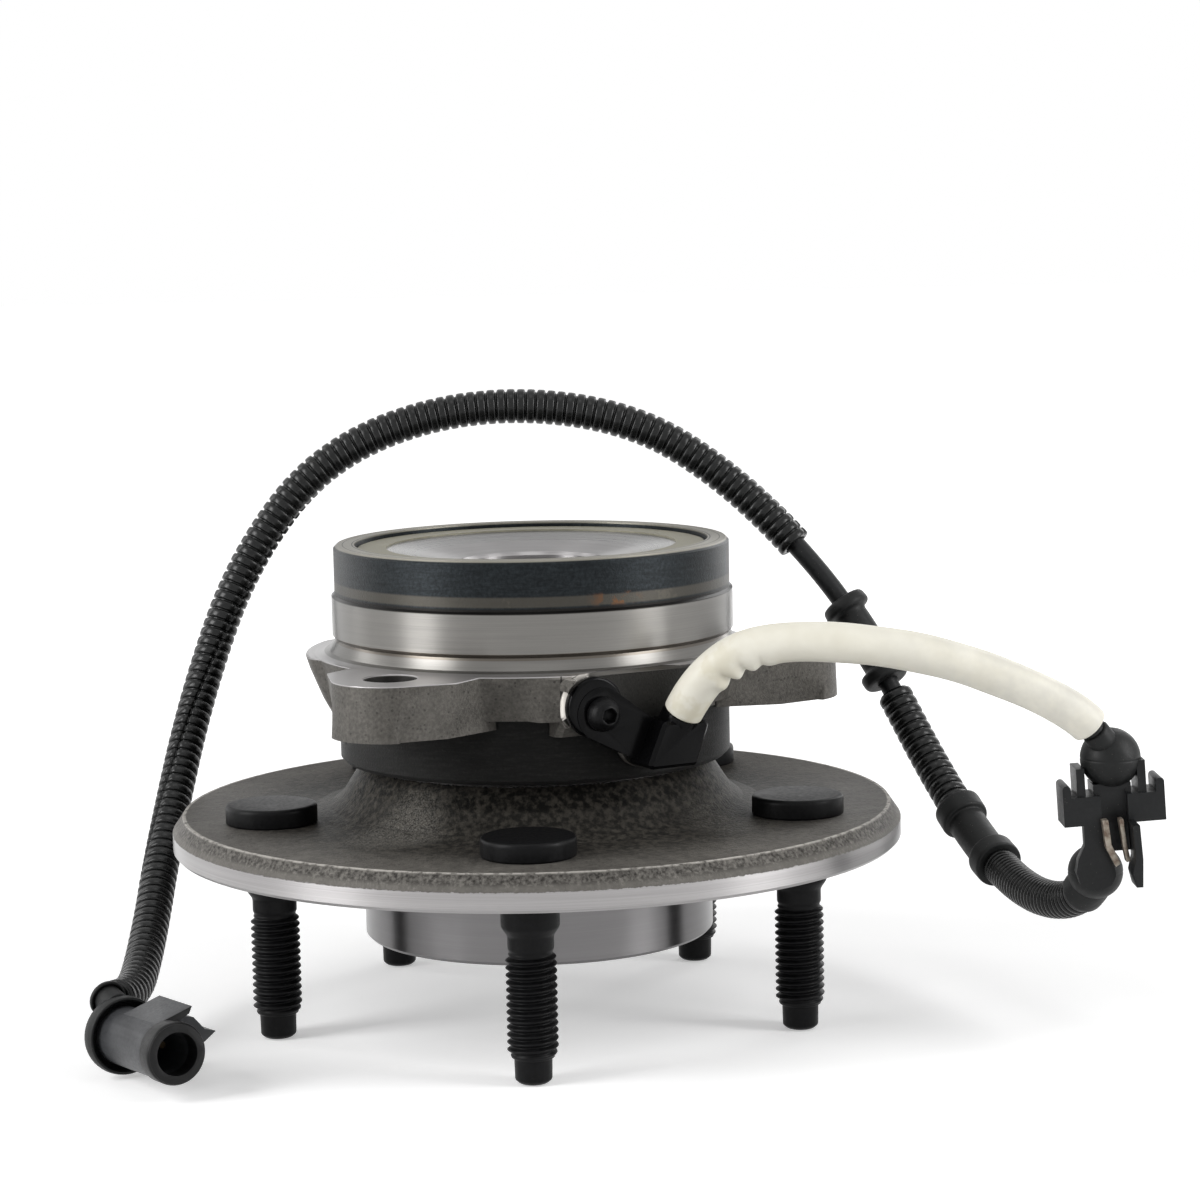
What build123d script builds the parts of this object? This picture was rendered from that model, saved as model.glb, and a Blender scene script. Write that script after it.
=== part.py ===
from build123d import *
import math
import os

# Driven-axle wheel hub bearing: flanged hub on two rows of tapered rollers in a three-eared carrier,
# with wheel-speed sensor, its sleeved lead, routing clip and conduit-covered cable with connector.
# Millimetres. Origin on the hub axis at the wheel-mounting face; +Z points to the vehicle (inboard).

os.makedirs("parts", exist_ok=True)

# ---------------------------------------------------------------- rollers and running gaps
ROLLER_R = 4.5              # mean radius of a tapered roller
ROLLER_LEN = 12.0
ROLLER_COUNT = 18
ROLLER_PITCH_R = 37.8       # roller centres
ROLLER_TILT = 13.5          # roller axis to hub axis, degrees
ROLLER_TAPER = 1.2          # half angle of the roller, degrees
ROLLER_GAP = 0.3            # running space between rollers and races
ROLLER_END_GAP = 0.25
ROW_SPACE = 2.07            # between a row and the joint of the two cones
CAGE_T = 1.6
CAGE_OFFSET = 1.4           # cage shell sits outside the roller axes
CAGE_RIM = 1.0
CAGE_POCKET_GAP = 0.25
CONE_RIB_H = 3.2
CONE_RIB_W = 2.0
CONE_LAND_W = 0.2           # ground land behind the rib
CONE_LIP_H = 1.0
RACE_TO_BORE = 1.5          # carrier's bore outside the roller circle
RACE_TO_SPINDLE = 5.8       # spindle inside the roller circle
CARRIER_BORE_R = ROLLER_PITCH_R + ROLLER_R + RACE_TO_BORE
SPINDLE_R = ROLLER_PITCH_R - ROLLER_R - RACE_TO_SPINDLE
SEAL_SPACE = 7.9            # radial room for the seals
SEAL_LAND_R = CARRIER_BORE_R - SEAL_SPACE
SEAL_SHELL_T = 0.8
SEAL_GAP = 0.3
TONE_SEAT_R = SEAL_LAND_R - 0.9
TONE_RING_R = CARRIER_BORE_R - 2.2
TONE_TOOTH_H = 1.7
TONE_ROOT_R = TONE_RING_R - TONE_TOOTH_H
TONE_TEETH = 44
TONE_RING_W = 7.0

# ---------------------------------------------------------------- wheel side
FLANGE_R = 90.65            # outer radius of the wheel flange
RIM_H = 4.9                 # turned cylindrical rim of the flange
FORGED_SLOPE_W = 2.65       # width of the forged slope above the rim
FORGED_EDGE_R = FLANGE_R - FORGED_SLOPE_W
FLANGE_T = 8.8              # flange thickness over the forged face
PILOT_R = 43.5              # wheel and brake-disc centring spigot
PILOT_LEN = 23.0
PILOT_WALL = 5.6
PILOT_CHAMFER = 0.8
CUP_FLOOR_Z = -2.0          # floor of the cup inside the spigot, seat of the axle nut
NUT_SEAT_STEP = 7.9         # ledge from the cup's wall in to the nut's seat
NUT_SEAT_R = PILOT_R - PILOT_WALL - NUT_SEAT_STEP
STUD_PCD = 135.0
STUD_COUNT = 5
STUD_FIRST_DEG = -91.9
STUD_R = 6.0                # M12 major radius
STUD_SHANK_R = STUD_R - 0.6
STUD_COLLAR_R = STUD_R + 0.85
STUD_MOUTH_R = STUD_COLLAR_R + 0.25         # chamfered mouth of the stud's hole
STUD_MOUTH_H = 1.1
STUD_POINT_R = STUD_R - 1.55
STUD_TIP_Z = -44.75
STUD_POINT_LEN = 6.4
STUD_SHANK_END = -13.5
STUD_COLLAR_END = -7.8
STUD_TAPER = 2.1
STUD_HEAD_R = 11.2
STUD_HEAD_H = 4.7
BOSS_SLOPE_W = 8.0
BOSS_TOP_R = CARRIER_BORE_R - SEAL_GAP
BOSS_BASE_R = BOSS_TOP_R + BOSS_SLOPE_W     # forged cone between flange and carrier
BOSS_TOP_Z = 20.6
SPLINE_MINOR_R = 15.9       # tooth tips in the axle bore
SPLINE_TOOTH_H = 1.3
SPLINE_MAJOR_R = SPLINE_MINOR_R + SPLINE_TOOTH_H
SPLINE_TEETH = 28
PLAIN_BORE_R = SPLINE_MAJOR_R + 0.4         # lead-in ahead of the splines
PLAIN_BORE_LEN = 10.0
BORE_MOUTH_DROP = 1.5
BORE_MOUTH_R = PLAIN_BORE_R + 0.8
DISH_RIM = 2.5              # shallow dish across the inner ring and the spindle's end
DISH_R = SPINDLE_R - DISH_RIM
DISH_DROP = 0.5


def rib_reach():
    """Length along the hub axis from the middle of a roller row to the back of its cone's rib."""
    half = ROLLER_LEN / 2 + ROLLER_END_GAP
    tilt = math.radians(ROLLER_TILT)
    off = CONE_RIB_H - ROLLER_GAP - ROLLER_R - half * math.tan(math.radians(ROLLER_TAPER))
    return half * math.cos(tilt) - off * math.sin(tilt) + CONE_RIB_W


# ---------------------------------------------------------------- stack along the hub axis
CARRIER_BOTTOM_Z = BOSS_TOP_Z + 0.9
OUTBOARD_SEAL_Z1 = CARRIER_BOTTOM_Z + 4.4
TONE_Z0 = OUTBOARD_SEAL_Z1 + 1.7
TONE_Z1 = TONE_Z0 + TONE_RING_W
OUTBOARD_CONE_END = TONE_Z1 + 2.0
OUTBOARD_ROW_Z = OUTBOARD_CONE_END + CONE_LAND_W + rib_reach()
ROW_OFFSET = ROLLER_LEN / 2 * math.cos(math.radians(ROLLER_TILT)) + ROW_SPACE
CONE_JOINT_Z = OUTBOARD_ROW_Z + ROW_OFFSET      # where the two cones meet
INBOARD_ROW_Z = CONE_JOINT_Z + ROW_OFFSET
INBOARD_SEAL_Z0 = INBOARD_ROW_Z + rib_reach() + SEAL_GAP
INBOARD_SEAL_DEPTH = 4.9
CARRIER_TOP_Z = INBOARD_SEAL_Z0 + INBOARD_SEAL_DEPTH
SHIELD_TOP_Z = CARRIER_TOP_Z - 1.1
INBOARD_CONE_END = CARRIER_TOP_Z - 1.5
SPINDLE_END_Z = CARRIER_TOP_Z - 3.0

# ---------------------------------------------------------------- carrier outside
LOWER_R = CARRIER_BORE_R + 4.7
PILOT_BAND_R = LOWER_R + 1.25               # fits the bore of the steering knuckle
DARK_BAND_R = LOWER_R + 0.5
GROOVE_R = LOWER_R + 0.5
GROOVE_H = 1.4
FACE_Z = 48.2               # machined mounting face
FACE_FILLET = 3.0
BAND_Z0 = FACE_Z + 4.6
BAND_Z1 = CARRIER_TOP_Z - 11.9
EAR_T = 13.2
EAR_BOTTOM_Z = FACE_Z - EAR_T
WEB_T = 10.8
WEB_BOTTOM_Z = FACE_Z - WEB_T
EAR_PCD = 122.0
EAR_COUNT = 3
EAR_FIRST_DEG = -3.4
EAR_R = 14.3
EAR_HOLE_R = 6.1
EAR_SPOTFACE_R = 11.5
EAR_SPOTFACE_D = 1.6
EAR_NECK_HALF = 19.0
WEB_R = LOWER_R + 6.0       # plate between the ears
LOBE_R = LOWER_R + 8.5
LOBE_HALF = 19.0
LOBE_EDGE = 1.2
LOBE_FOOT_Z = FACE_Z - 14.8

# ---------------------------------------------------------------- sensor
SENSOR_DEG = -63.4          # direction of the lobe that carries the sensor
SEAT_DIST = LOWER_R + 2.7   # milled seat, square to that direction
POCKET_X, POCKET_Z = -12.8, 41.6
POCKET_R = 7.0
SCREW_X, SCREW_Z = -9.8, 38.9
PROBE_X = 3.2
PROBE_Z = (TONE_Z0 + TONE_Z1) / 2           # over the middle of the tone ring
SENSOR_PLATE_T = 3.2
SENSOR_EAR_R = 6.3
SENSOR_ARM_HALF = 5.0
PROBE_R = 5.0
SEAT_BOSS_R = PROBE_R + 1.6
PROBE_GAP = 0.12
PROBE_AIR_GAP = 0.9
HEAD_OUT = 9.8              # front of the sensor's head, from the seat
HEAD_CORNERS = [(-1.4, 25.6), (12.0, 25.6), (15.8, 36.0), (3.4, 36.6)]
RING_SECTION_R = 0.7
RING_AT = -2.4
MAGNET_R, MAGNET_LEN = 2.6, 4.0
POLE_R, POLE_LEN = 1.2, 2.4
PROBE_TIP_WALL = 0.6
SCREW_R = 2.5
SCREW_HEAD_R = SCREW_R + 1.6
SCREW_HEAD_H = 4.4
SCREW_DEPTH = 5.5
LIMITER_WALL = 1.4
OUTLET_LEN = 5.0

# ---------------------------------------------------------------- cables
CABLE_R = 2.65
CONDUIT_BORE_R = CABLE_R + 0.5
CONDUIT_R = CONDUIT_BORE_R + 1.5
SLEEVE_BORE_R = CABLE_R + 0.45
SLEEVE_R = SLEEVE_BORE_R + 1.6

LEAD_POINTS = [(34.7, -47.3, 37.9), (40.5, -51.6, 49.8), (58.0, -54.0, 56.3), (92.0, -51.0, 51.8),
               (119.0, -48.5, 41.2), (133.2, -48.6, 31.6), (136.4, -43.0, 24.0)]
CABLE_POINTS = [(133.6, -40.5, -3.2), (131.8, -36.0, -11.6), (123.0, -19.0, -15.6), (115.0, 9.0, -10.5),
                (105.0, 33.0, 6.0), (93.0, 50.0, 31.0), (82.0, 60.0, 53.0), (55.0, 73.0, 82.4),
                (26.0, 76.0, 100.6), (-16.0, 77.0, 104.6), (-54.5, 75.0, 92.0), (-77.0, 68.0, 64.2),
                (-89.5, 55.0, 30.0), (-96.0, 25.0, -3.0), (-98.0, -6.0, -25.0), (-99.0, -33.5, -31.8),
                (-103.2, -45.6, -27.6)]

# Places along the two cables, as lengths from the sensor or from the clip
SLEEVE_END = 110.0
LOWER_CONDUIT_START, LOWER_CONDUIT_END = 10.0, 51.5
LARGE_GROMMET_END = 77.0
MIDDLE_CONDUIT_END = 114.5
SMALL_GROMMET_START, SMALL_GROMMET_END = 118.0, 143.5
UPPER_CONDUIT_START = 163.5
UPPER_CONDUIT_STOP_SHORT = 5.0
LARGE_WAIST_R, LARGE_COLLAR_R, LARGE_COLLAR_W = CABLE_R + 2.25, CABLE_R + 3.55, 5.6
SMALL_WAIST_R, SMALL_COLLAR_R, SMALL_COLLAR_W = CABLE_R + 2.1, CABLE_R + 3.75, 3.4

# ---------------------------------------------------------------- clip
CLIP_AT = (136.6, -43.0, 12.4)
CLIP_LEAN = 3.4             # the clip stands slightly turned, degrees
BAR_W, BAR_D, BAR_H = 24.2, 10.0, 6.9
CHANNEL_W = 6.4
HOOK_T, HOOK_H = 2.0, 3.2
UPPER_BOOT_AT = (136.4, -43.0, 24.0)
UPPER_BOOT_R = 7.2
LOWER_BOOT_AT = (133.3, -40.3, -4.0)
LOWER_BOOT_R = 6.6

# ---------------------------------------------------------------- connector
CONNECTOR_AT = (-97.6, -54.0, -34.85)
CONNECTOR_DEG = -59.2
CONNECTOR_TILT = 3.3
DISC_R = 9.6
DISC_T = 5.0
DISC_CUP_R = 8.4
DISC_CUP_D = 2.4
BARREL_R = 6.9
RIM_R, RIM_W = 7.3, 5.0
BARREL_LEN = 28.0
SOCKET_R = 5.0
SOCKET_DEPTH = 20.0
PLATE_START, RIB_START = 5.5, 10.0
RIB_END, PLATE_END = 20.5, 23.5
PIN_R = 0.8
PIN_LEN = 7.5
PIN_SPREAD = 2.0
NECK_R = CABLE_R + 0.8
NECK_RING_R = NECK_R + 1.1
NECK_RING_W = 1.3
NECK_LEN = 7.2


def at(radius, degrees, z=0.0):
    """Point at a radius and an angle about the hub axis."""
    a = math.radians(degrees)
    return Vector(radius * math.cos(a), radius * math.sin(a), z)


def lathe(points):
    """Solid of revolution about Z from an (r, z) outline."""
    return revolve(make_face(Plane.XZ * Polyline(*points, close=True)), Axis.Z)


def cylinder_between(radius, start, end):
    """Round bar between two points."""
    start, end = Vector(*start), Vector(*end)
    axis = end - start
    disc = Plane(origin=start, z_dir=axis) * Circle(radius)
    return extrude(disc, amount=axis.length, dir=axis)


def copies_about_z(shape, count, first=0.0):
    """The shape repeated evenly about Z."""
    return [Rot(0, 0, first + 360.0 * i / count) * shape for i in range(count)]


def save(name, shape):
    """Write one node's STEP file."""
    solids = shape.solids() if hasattr(shape, "solids") else shape
    body = solids[0] if len(solids) == 1 else Compound(children=list(solids))
    export_step(body, f"parts/{name}.step")
    print(name, len(solids), round(sum(s.volume for s in solids), 1))


# ================================================================ rollers, cages and races
def roller_point(row_z, outward, along, off):
    """Point in the (r, z) plane: along the roller axis from its middle, off it outwards."""
    tilt = math.radians(ROLLER_TILT)
    r = ROLLER_PITCH_R + along * math.sin(tilt) + off * math.cos(tilt)
    z = row_z + outward * (along * math.cos(tilt) - off * math.sin(tilt))
    return r, z


def roller_radius(along):
    return ROLLER_R + along * math.tan(math.radians(ROLLER_TAPER))


def roller_row(row_z, outward, growth=0.0):
    """One row of tapered rollers; growth widens them to cut the cage's pockets."""
    half = ROLLER_LEN / 2 + growth
    tilt = outward * ROLLER_TILT
    cone = Cone(roller_radius(-half) + growth, roller_radius(half) + growth, 2 * half)
    if outward < 0:
        cone = Rot(180, 0, 0) * cone
    placed = Pos(ROLLER_PITCH_R, 0, row_z) * Rot(0, tilt, 0) * cone
    return copies_about_z(placed, ROLLER_COUNT)


def cage(row_z, outward):
    """Pressed steel cage: conical shell with one pocket for each roller."""
    half = ROLLER_LEN / 2 + CAGE_POCKET_GAP + CAGE_RIM
    inner, outer = CAGE_OFFSET, CAGE_OFFSET + CAGE_T
    shell = lathe([roller_point(row_z, outward, -half, inner), roller_point(row_z, outward, half, inner),
                   roller_point(row_z, outward, half, outer), roller_point(row_z, outward, -half, outer)])
    return shell - Compound(children=roller_row(row_z, outward, CAGE_POCKET_GAP))


def cone_profile(row_z, outward, back_z, bore_back_z):
    """Outline of an inner ring: lip, raceway, guide rib and seal land."""
    half = ROLLER_LEN / 2 + ROLLER_END_GAP
    small = -roller_radius(-half) - ROLLER_GAP
    large = -roller_radius(half) - ROLLER_GAP
    lip = roller_point(row_z, outward, -half, small + CONE_LIP_H)
    race_small = roller_point(row_z, outward, -half, small)
    race_large = roller_point(row_z, outward, half, large)
    rib = roller_point(row_z, outward, half, large + CONE_RIB_H)
    return [(SPINDLE_R, CONE_JOINT_Z), (lip[0], CONE_JOINT_Z), lip, race_small, race_large, rib,
            (rib[0], rib[1] + outward * (CONE_RIB_W - 0.2)), (SEAL_LAND_R, rib[1] + outward * CONE_RIB_W),
            (SEAL_LAND_R, back_z), (SPINDLE_R, bore_back_z)]


def inner_ring(row_z, outward, back_z, bore_back_z):
    return lathe(cone_profile(row_z, outward, back_z, bore_back_z))


# ================================================================ hub
def wheel_hub():
    """Forged flange, centring spigot, spindle and splined bore."""
    cup_r = PILOT_R - PILOT_WALL
    lip_z = SPINDLE_END_Z - DISH_DROP
    bore_z = lip_z - BORE_MOUTH_DROP
    outline = [
        (SPLINE_MINOR_R, CUP_FLOOR_Z), (NUT_SEAT_R, CUP_FLOOR_Z),
        (NUT_SEAT_R, CUP_FLOOR_Z - 4.0), (cup_r, CUP_FLOOR_Z - 7.5), (cup_r, -PILOT_LEN),
        (PILOT_R - PILOT_CHAMFER, -PILOT_LEN), (PILOT_R, -PILOT_LEN + PILOT_CHAMFER), (PILOT_R, 0),
        (FLANGE_R - 0.8, 0), (FLANGE_R, 0.8), (FLANGE_R, RIM_H), (FORGED_EDGE_R, FLANGE_T),
        (BOSS_BASE_R + 4.5, FLANGE_T), (BOSS_BASE_R, FLANGE_T + 1.2), (BOSS_BASE_R - 3.0, FLANGE_T + 3.6),
        (BOSS_TOP_R + 1.2, BOSS_TOP_Z - 2.2), (BOSS_TOP_R - 0.6, BOSS_TOP_Z), (TONE_SEAT_R, BOSS_TOP_Z),
        (TONE_SEAT_R, OUTBOARD_CONE_END), (SPINDLE_R, OUTBOARD_CONE_END), (SPINDLE_R, SPINDLE_END_Z),
        (DISH_R, lip_z), (BORE_MOUTH_R, bore_z), (PLAIN_BORE_R, bore_z - 0.8),
        (PLAIN_BORE_R, bore_z - PLAIN_BORE_LEN), (SPLINE_MINOR_R, bore_z - PLAIN_BORE_LEN - 1.5),
    ]
    body = lathe(outline)
    for hole in stud_places():
        body -= Pos(hole.X, hole.Y, FLANGE_T / 2) * Cylinder(STUD_R, FLANGE_T + 4)
        body -= Pos(hole.X, hole.Y, STUD_MOUTH_H / 2) * Cone(STUD_MOUTH_R, STUD_R, STUD_MOUTH_H)
    return body - spline_gaps()


def spline_gaps():
    """Spaces between the spline teeth of the axle bore."""
    pitch = 2 * math.pi / SPLINE_TEETH
    inner = SPLINE_MINOR_R - 0.4
    low, high = 0.30 * pitch, 0.20 * pitch
    gap = Polyline((inner, -inner * math.tan(low)), (SPLINE_MAJOR_R, -SPLINE_MAJOR_R * math.tan(high)),
                   (SPLINE_MAJOR_R, SPLINE_MAJOR_R * math.tan(high)), (inner, inner * math.tan(low)),
                   close=True)
    top = SPINDLE_END_Z - DISH_DROP - BORE_MOUTH_DROP - PLAIN_BORE_LEN + 0.5
    cutter = Pos(0, 0, CUP_FLOOR_Z - 1) * extrude(make_face(gap), amount=top - CUP_FLOOR_Z + 1, dir=(0, 0, 1))
    return Compound(children=copies_about_z(cutter, SPLINE_TEETH))


def stud_places():
    return [at(STUD_PCD / 2, STUD_FIRST_DEG + 360.0 * i / STUD_COUNT) for i in range(STUD_COUNT)]


def wheel_studs():
    """Pressed-in studs with flat heads, collar, shank, thread core and dog point."""
    point_z = STUD_TIP_Z + STUD_POINT_LEN
    stud = lathe([
        (0, STUD_TIP_Z), (STUD_POINT_R - 1.3, STUD_TIP_Z), (STUD_POINT_R, STUD_TIP_Z + 1.0),
        (STUD_POINT_R, point_z), (STUD_R, point_z + 1.2), (STUD_R, STUD_SHANK_END - 0.8),
        (STUD_SHANK_R, STUD_SHANK_END), (STUD_SHANK_R, STUD_COLLAR_END - STUD_TAPER),
        (STUD_COLLAR_R, STUD_COLLAR_END), (STUD_COLLAR_R, 0), (STUD_R, 0), (STUD_R, FLANGE_T),
        (STUD_HEAD_R, FLANGE_T), (STUD_HEAD_R, FLANGE_T + STUD_HEAD_H - 0.6),
        (STUD_HEAD_R - 0.6, FLANGE_T + STUD_HEAD_H), (0, FLANGE_T + STUD_HEAD_H)])
    return Compound(children=[Pos(place.X, place.Y, 0) * stud for place in stud_places()])


def tone_ring():
    """Toothed ring that the speed sensor reads."""
    ring = lathe([(TONE_SEAT_R, TONE_Z0), (TONE_RING_R, TONE_Z0), (TONE_RING_R, TONE_Z1),
                  (TONE_SEAT_R, TONE_Z1)])
    depth = TONE_RING_R - TONE_ROOT_R
    width = math.pi * TONE_RING_R / TONE_TEETH
    gap = Pos(TONE_ROOT_R + depth, 0, (TONE_Z0 + TONE_Z1) / 2) * Box(2 * depth, width, TONE_Z1 - TONE_Z0 + 1)
    return ring - Compound(children=copies_about_z(gap, TONE_TEETH))


# ================================================================ carrier
def ear_plate():
    """Three-eared mounting plate, forged outline between its lower side and the machined face."""
    height = FACE_Z - EAR_BOTTOM_Z
    web = Pos(0, 0, WEB_BOTTOM_Z) * extrude(Circle(WEB_R), amount=FACE_Z - WEB_BOTTOM_Z)
    plate = web
    neck = Pos(EAR_PCD / 4, 0) * Rectangle(EAR_PCD / 2, 2 * EAR_NECK_HALF)
    ear_end = Pos(EAR_PCD / 2, 0) * Circle(EAR_R)
    ear_outline = make_hull((neck + ear_end).edges())
    ear = Pos(0, 0, EAR_BOTTOM_Z) * extrude(ear_outline, amount=height, taper=2.0)
    for one in copies_about_z(ear, EAR_COUNT, EAR_FIRST_DEG):
        plate += one
    for one in copies_about_z(web_lobe(), EAR_COUNT, EAR_FIRST_DEG + 60):
        plate += one
    return plate


def web_lobe():
    """Forged swelling between two ears: flat top under the face, front leaning in to its foot."""
    inner = LOWER_R - 4.0
    side = Polyline((inner, FACE_Z - 0.6), (LOBE_R - 2.2, FACE_Z - 0.6), (LOBE_R, FACE_Z - 3.8),
                    (LOBE_R - 0.4, FACE_Z - 5.4), (LOWER_R + 0.7, LOBE_FOOT_Z), (inner, LOBE_FOOT_Z), close=True)
    block = extrude(make_face(Plane.XZ * side), amount=LOBE_HALF, both=True)
    upright = block.edges().filter_by(lambda e: e.center().X > LOBE_R - 8 and abs(e.center().Y) > LOBE_HALF - 0.1)
    return chamfer(upright, LOBE_EDGE)


def ear_cuts():
    """Bolt holes through the ears and the spot faces under them."""
    hole = Pos(EAR_PCD / 2, 0, (EAR_BOTTOM_Z + FACE_Z) / 2) * Cylinder(EAR_HOLE_R, FACE_Z - EAR_BOTTOM_Z + 6)
    mouth = Pos(EAR_PCD / 2, 0, FACE_Z - 0.25) * Cone(EAR_HOLE_R, EAR_HOLE_R + 0.5, 0.5)
    spot = Pos(EAR_PCD / 2, 0, EAR_BOTTOM_Z + EAR_SPOTFACE_D / 2 - 3) * Cylinder(EAR_SPOTFACE_R,
                                                                             EAR_SPOTFACE_D + 6)
    return copies_about_z(hole + mouth + spot, EAR_COUNT, EAR_FIRST_DEG)


def carrier_outline():
    """Outside of the carrier's turned body, from the bottom edge to the top edge."""
    return [(LOWER_R - 1.0, CARRIER_BOTTOM_Z), (LOWER_R, CARRIER_BOTTOM_Z + 1.0), (LOWER_R, FACE_Z - 4),
            (PILOT_BAND_R + FACE_FILLET, FACE_Z), (PILOT_BAND_R + 1.0, FACE_Z + 0.9),
            (GROOVE_R + 0.3, FACE_Z + FACE_FILLET),
            (GROOVE_R, BAND_Z0 - 0.9), (PILOT_BAND_R, BAND_Z0), (PILOT_BAND_R, BAND_Z1 - 0.5),
            (DARK_BAND_R, BAND_Z1), (DARK_BAND_R, CARRIER_TOP_Z - 0.8), (DARK_BAND_R - 0.8, CARRIER_TOP_Z)]


def carrier_bore():
    """Inside of the carrier: seal seats, sensor space and the two outer raceways."""
    half = ROLLER_LEN / 2 + 0.6
    out_big = roller_point(OUTBOARD_ROW_Z, -1, half, roller_radius(half) + ROLLER_GAP)
    out_small = roller_point(OUTBOARD_ROW_Z, -1, -half, roller_radius(-half) + ROLLER_GAP)
    in_small = roller_point(INBOARD_ROW_Z, 1, -half, roller_radius(-half) + ROLLER_GAP)
    in_big = roller_point(INBOARD_ROW_Z, 1, half, roller_radius(half) + ROLLER_GAP)
    return [(CARRIER_BORE_R, CARRIER_TOP_Z), (CARRIER_BORE_R, in_big[1] + 1.5), in_big, in_small,
            out_small, out_big, (CARRIER_BORE_R, out_big[1] - 1.5), (CARRIER_BORE_R, CARRIER_BOTTOM_Z)]


def sensor_plane(x=0.0, z=0.0, out=0.0):
    """Plane on the sensor's seat: local x along the seat, local y up, local z outwards."""
    outward = at(1, SENSOR_DEG)
    along = Vector(-outward.Y, outward.X, 0)
    origin = outward * (SEAT_DIST + out) + along * x + Vector(0, 0, z)
    return Plane(origin=origin, x_dir=along, z_dir=outward)


def seat_local(x, z, face):
    """A flat shape moved to a place on the sensor's seat, still in the seat's own plane."""
    return Pos(x, z) * face


def sensor_seat_cut():
    """Milled seat with one round end, and its screw hole and probe hole."""
    length = 40.0
    slot = seat_local(POCKET_X, POCKET_Z, Circle(POCKET_R))
    slot += seat_local(POCKET_X + length / 2, POCKET_Z, Rectangle(length, 2 * POCKET_R))
    slot += seat_local(POCKET_X + length / 2 + 6, POCKET_Z - 9, Rectangle(length - 12, 2 * POCKET_R))
    cut = sensor_plane() * extrude(slot, amount=20)
    screw = sensor_plane() * Pos(SCREW_X, SCREW_Z, -SCREW_DEPTH / 2) * Cylinder(SCREW_R, SCREW_DEPTH)
    probe = sensor_plane() * Pos(PROBE_X, PROBE_Z, -8) * Cylinder(PROBE_R + PROBE_GAP, 16)
    return cut, screw, probe


def seat_boss():
    """Round boss that carries the seat down to the probe's hole."""
    return sensor_plane() * Pos(PROBE_X, PROBE_Z, -3) * Cylinder(SEAT_BOSS_R, 6)


def carrier():
    """Outer ring of the bearing with its bolting ears and the sensor's seat."""
    body = lathe(carrier_outline() + carrier_bore())
    plate = ear_plate() - Pos(0, 0, 45) * Cylinder(LOWER_R - 1.5, 60)
    body += plate
    for cut in ear_cuts():
        body -= cut
    seat, screw, probe = sensor_seat_cut()
    body = body - seat + seat_boss()
    return body - screw - probe


# ================================================================ seals
def inboard_shield():
    """Coated shield pressed on the inner ring: it turns with the hub and closes the inboard end."""
    z1, t = SHIELD_TOP_Z, SEAL_SHELL_T
    r0, r1 = SEAL_LAND_R, CARRIER_BORE_R - 0.9
    z0 = INBOARD_SEAL_Z0 + 1.6
    return lathe([(r0, z0), (r0 + t, z0), (r0 + t, z1 - t), (r1 - t, z1 - t), (r1 - t, z0), (r1, z0), (r1, z1),
                  (r0, z1)])


def inboard_seal_lip():
    """Rubber seal pressed in the carrier's bore behind the shield."""
    r1 = CARRIER_BORE_R
    z0 = INBOARD_SEAL_Z0
    return lathe([(SEAL_LAND_R + SEAL_GAP, z0), (r1, z0), (r1, SHIELD_TOP_Z - 0.3), (r1 - 0.5, SHIELD_TOP_Z - 0.3),
                  (r1 - 0.5, z0 + 1.2), (SEAL_LAND_R + SEAL_GAP, z0 + 1.2)])


def outboard_seal_case():
    """Steel case of the wheel-side seal."""
    r1 = CARRIER_BORE_R
    z1 = OUTBOARD_SEAL_Z1
    return lathe([(TONE_SEAT_R + 3.0, z1 - SEAL_SHELL_T), (r1 - SEAL_SHELL_T, z1 - SEAL_SHELL_T),
                  (r1 - SEAL_SHELL_T, CARRIER_BOTTOM_Z + 0.4), (r1, CARRIER_BOTTOM_Z + 0.4), (r1, z1),
                  (TONE_SEAT_R + 3.0, z1)])


def outboard_seal_lip():
    """Rubber lips of the wheel-side seal, on the hub's land."""
    z1 = OUTBOARD_SEAL_Z1 - SEAL_SHELL_T
    r1 = CARRIER_BORE_R - SEAL_SHELL_T
    return lathe([(TONE_SEAT_R + 0.3, z1 - 3.0), (TONE_SEAT_R + 1.0, z1 - 3.2), (TONE_SEAT_R + 2.2, z1 - 1.2),
                  (r1 - 2.4, z1 - 1.2), (r1 - 1.4, CARRIER_BOTTOM_Z + 0.4), (r1 - 0.6, CARRIER_BOTTOM_Z + 0.4),
                  (r1, z1 - 1.0), (r1, z1), (TONE_SEAT_R + 0.3, z1)])


# ================================================================ sensor
def probe_length():
    """From the seat to the probe's tip, which stops short of the tone ring's teeth."""
    tip = TONE_RING_R + PROBE_AIR_GAP
    return SEAT_DIST - math.sqrt(tip ** 2 - (PROBE_X - PROBE_R) ** 2)


def sensor_arm():
    """Flat plate of the sensor: round fixing ear and the arm down to the head."""
    ear = Pos(SCREW_X, SCREW_Z) * Circle(SENSOR_EAR_R)
    foot = Pos(PROBE_X + 0.6, PROBE_Z - 0.6) * Circle(SENSOR_ARM_HALF)
    outline = make_hull((ear + foot).edges())
    return extrude(outline, amount=SENSOR_PLATE_T)


def sensor_core():
    """Space of the magnet and pole piece inside the probe, in the seat's own plane."""
    tip = -probe_length() + PROBE_TIP_WALL
    pole = Pos(PROBE_X, PROBE_Z, tip + POLE_LEN / 2) * Cylinder(POLE_R, POLE_LEN)
    magnet = Pos(PROBE_X, PROBE_Z, tip + POLE_LEN + MAGNET_LEN / 2) * Cylinder(MAGNET_R, MAGNET_LEN)
    return pole, magnet


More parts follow.
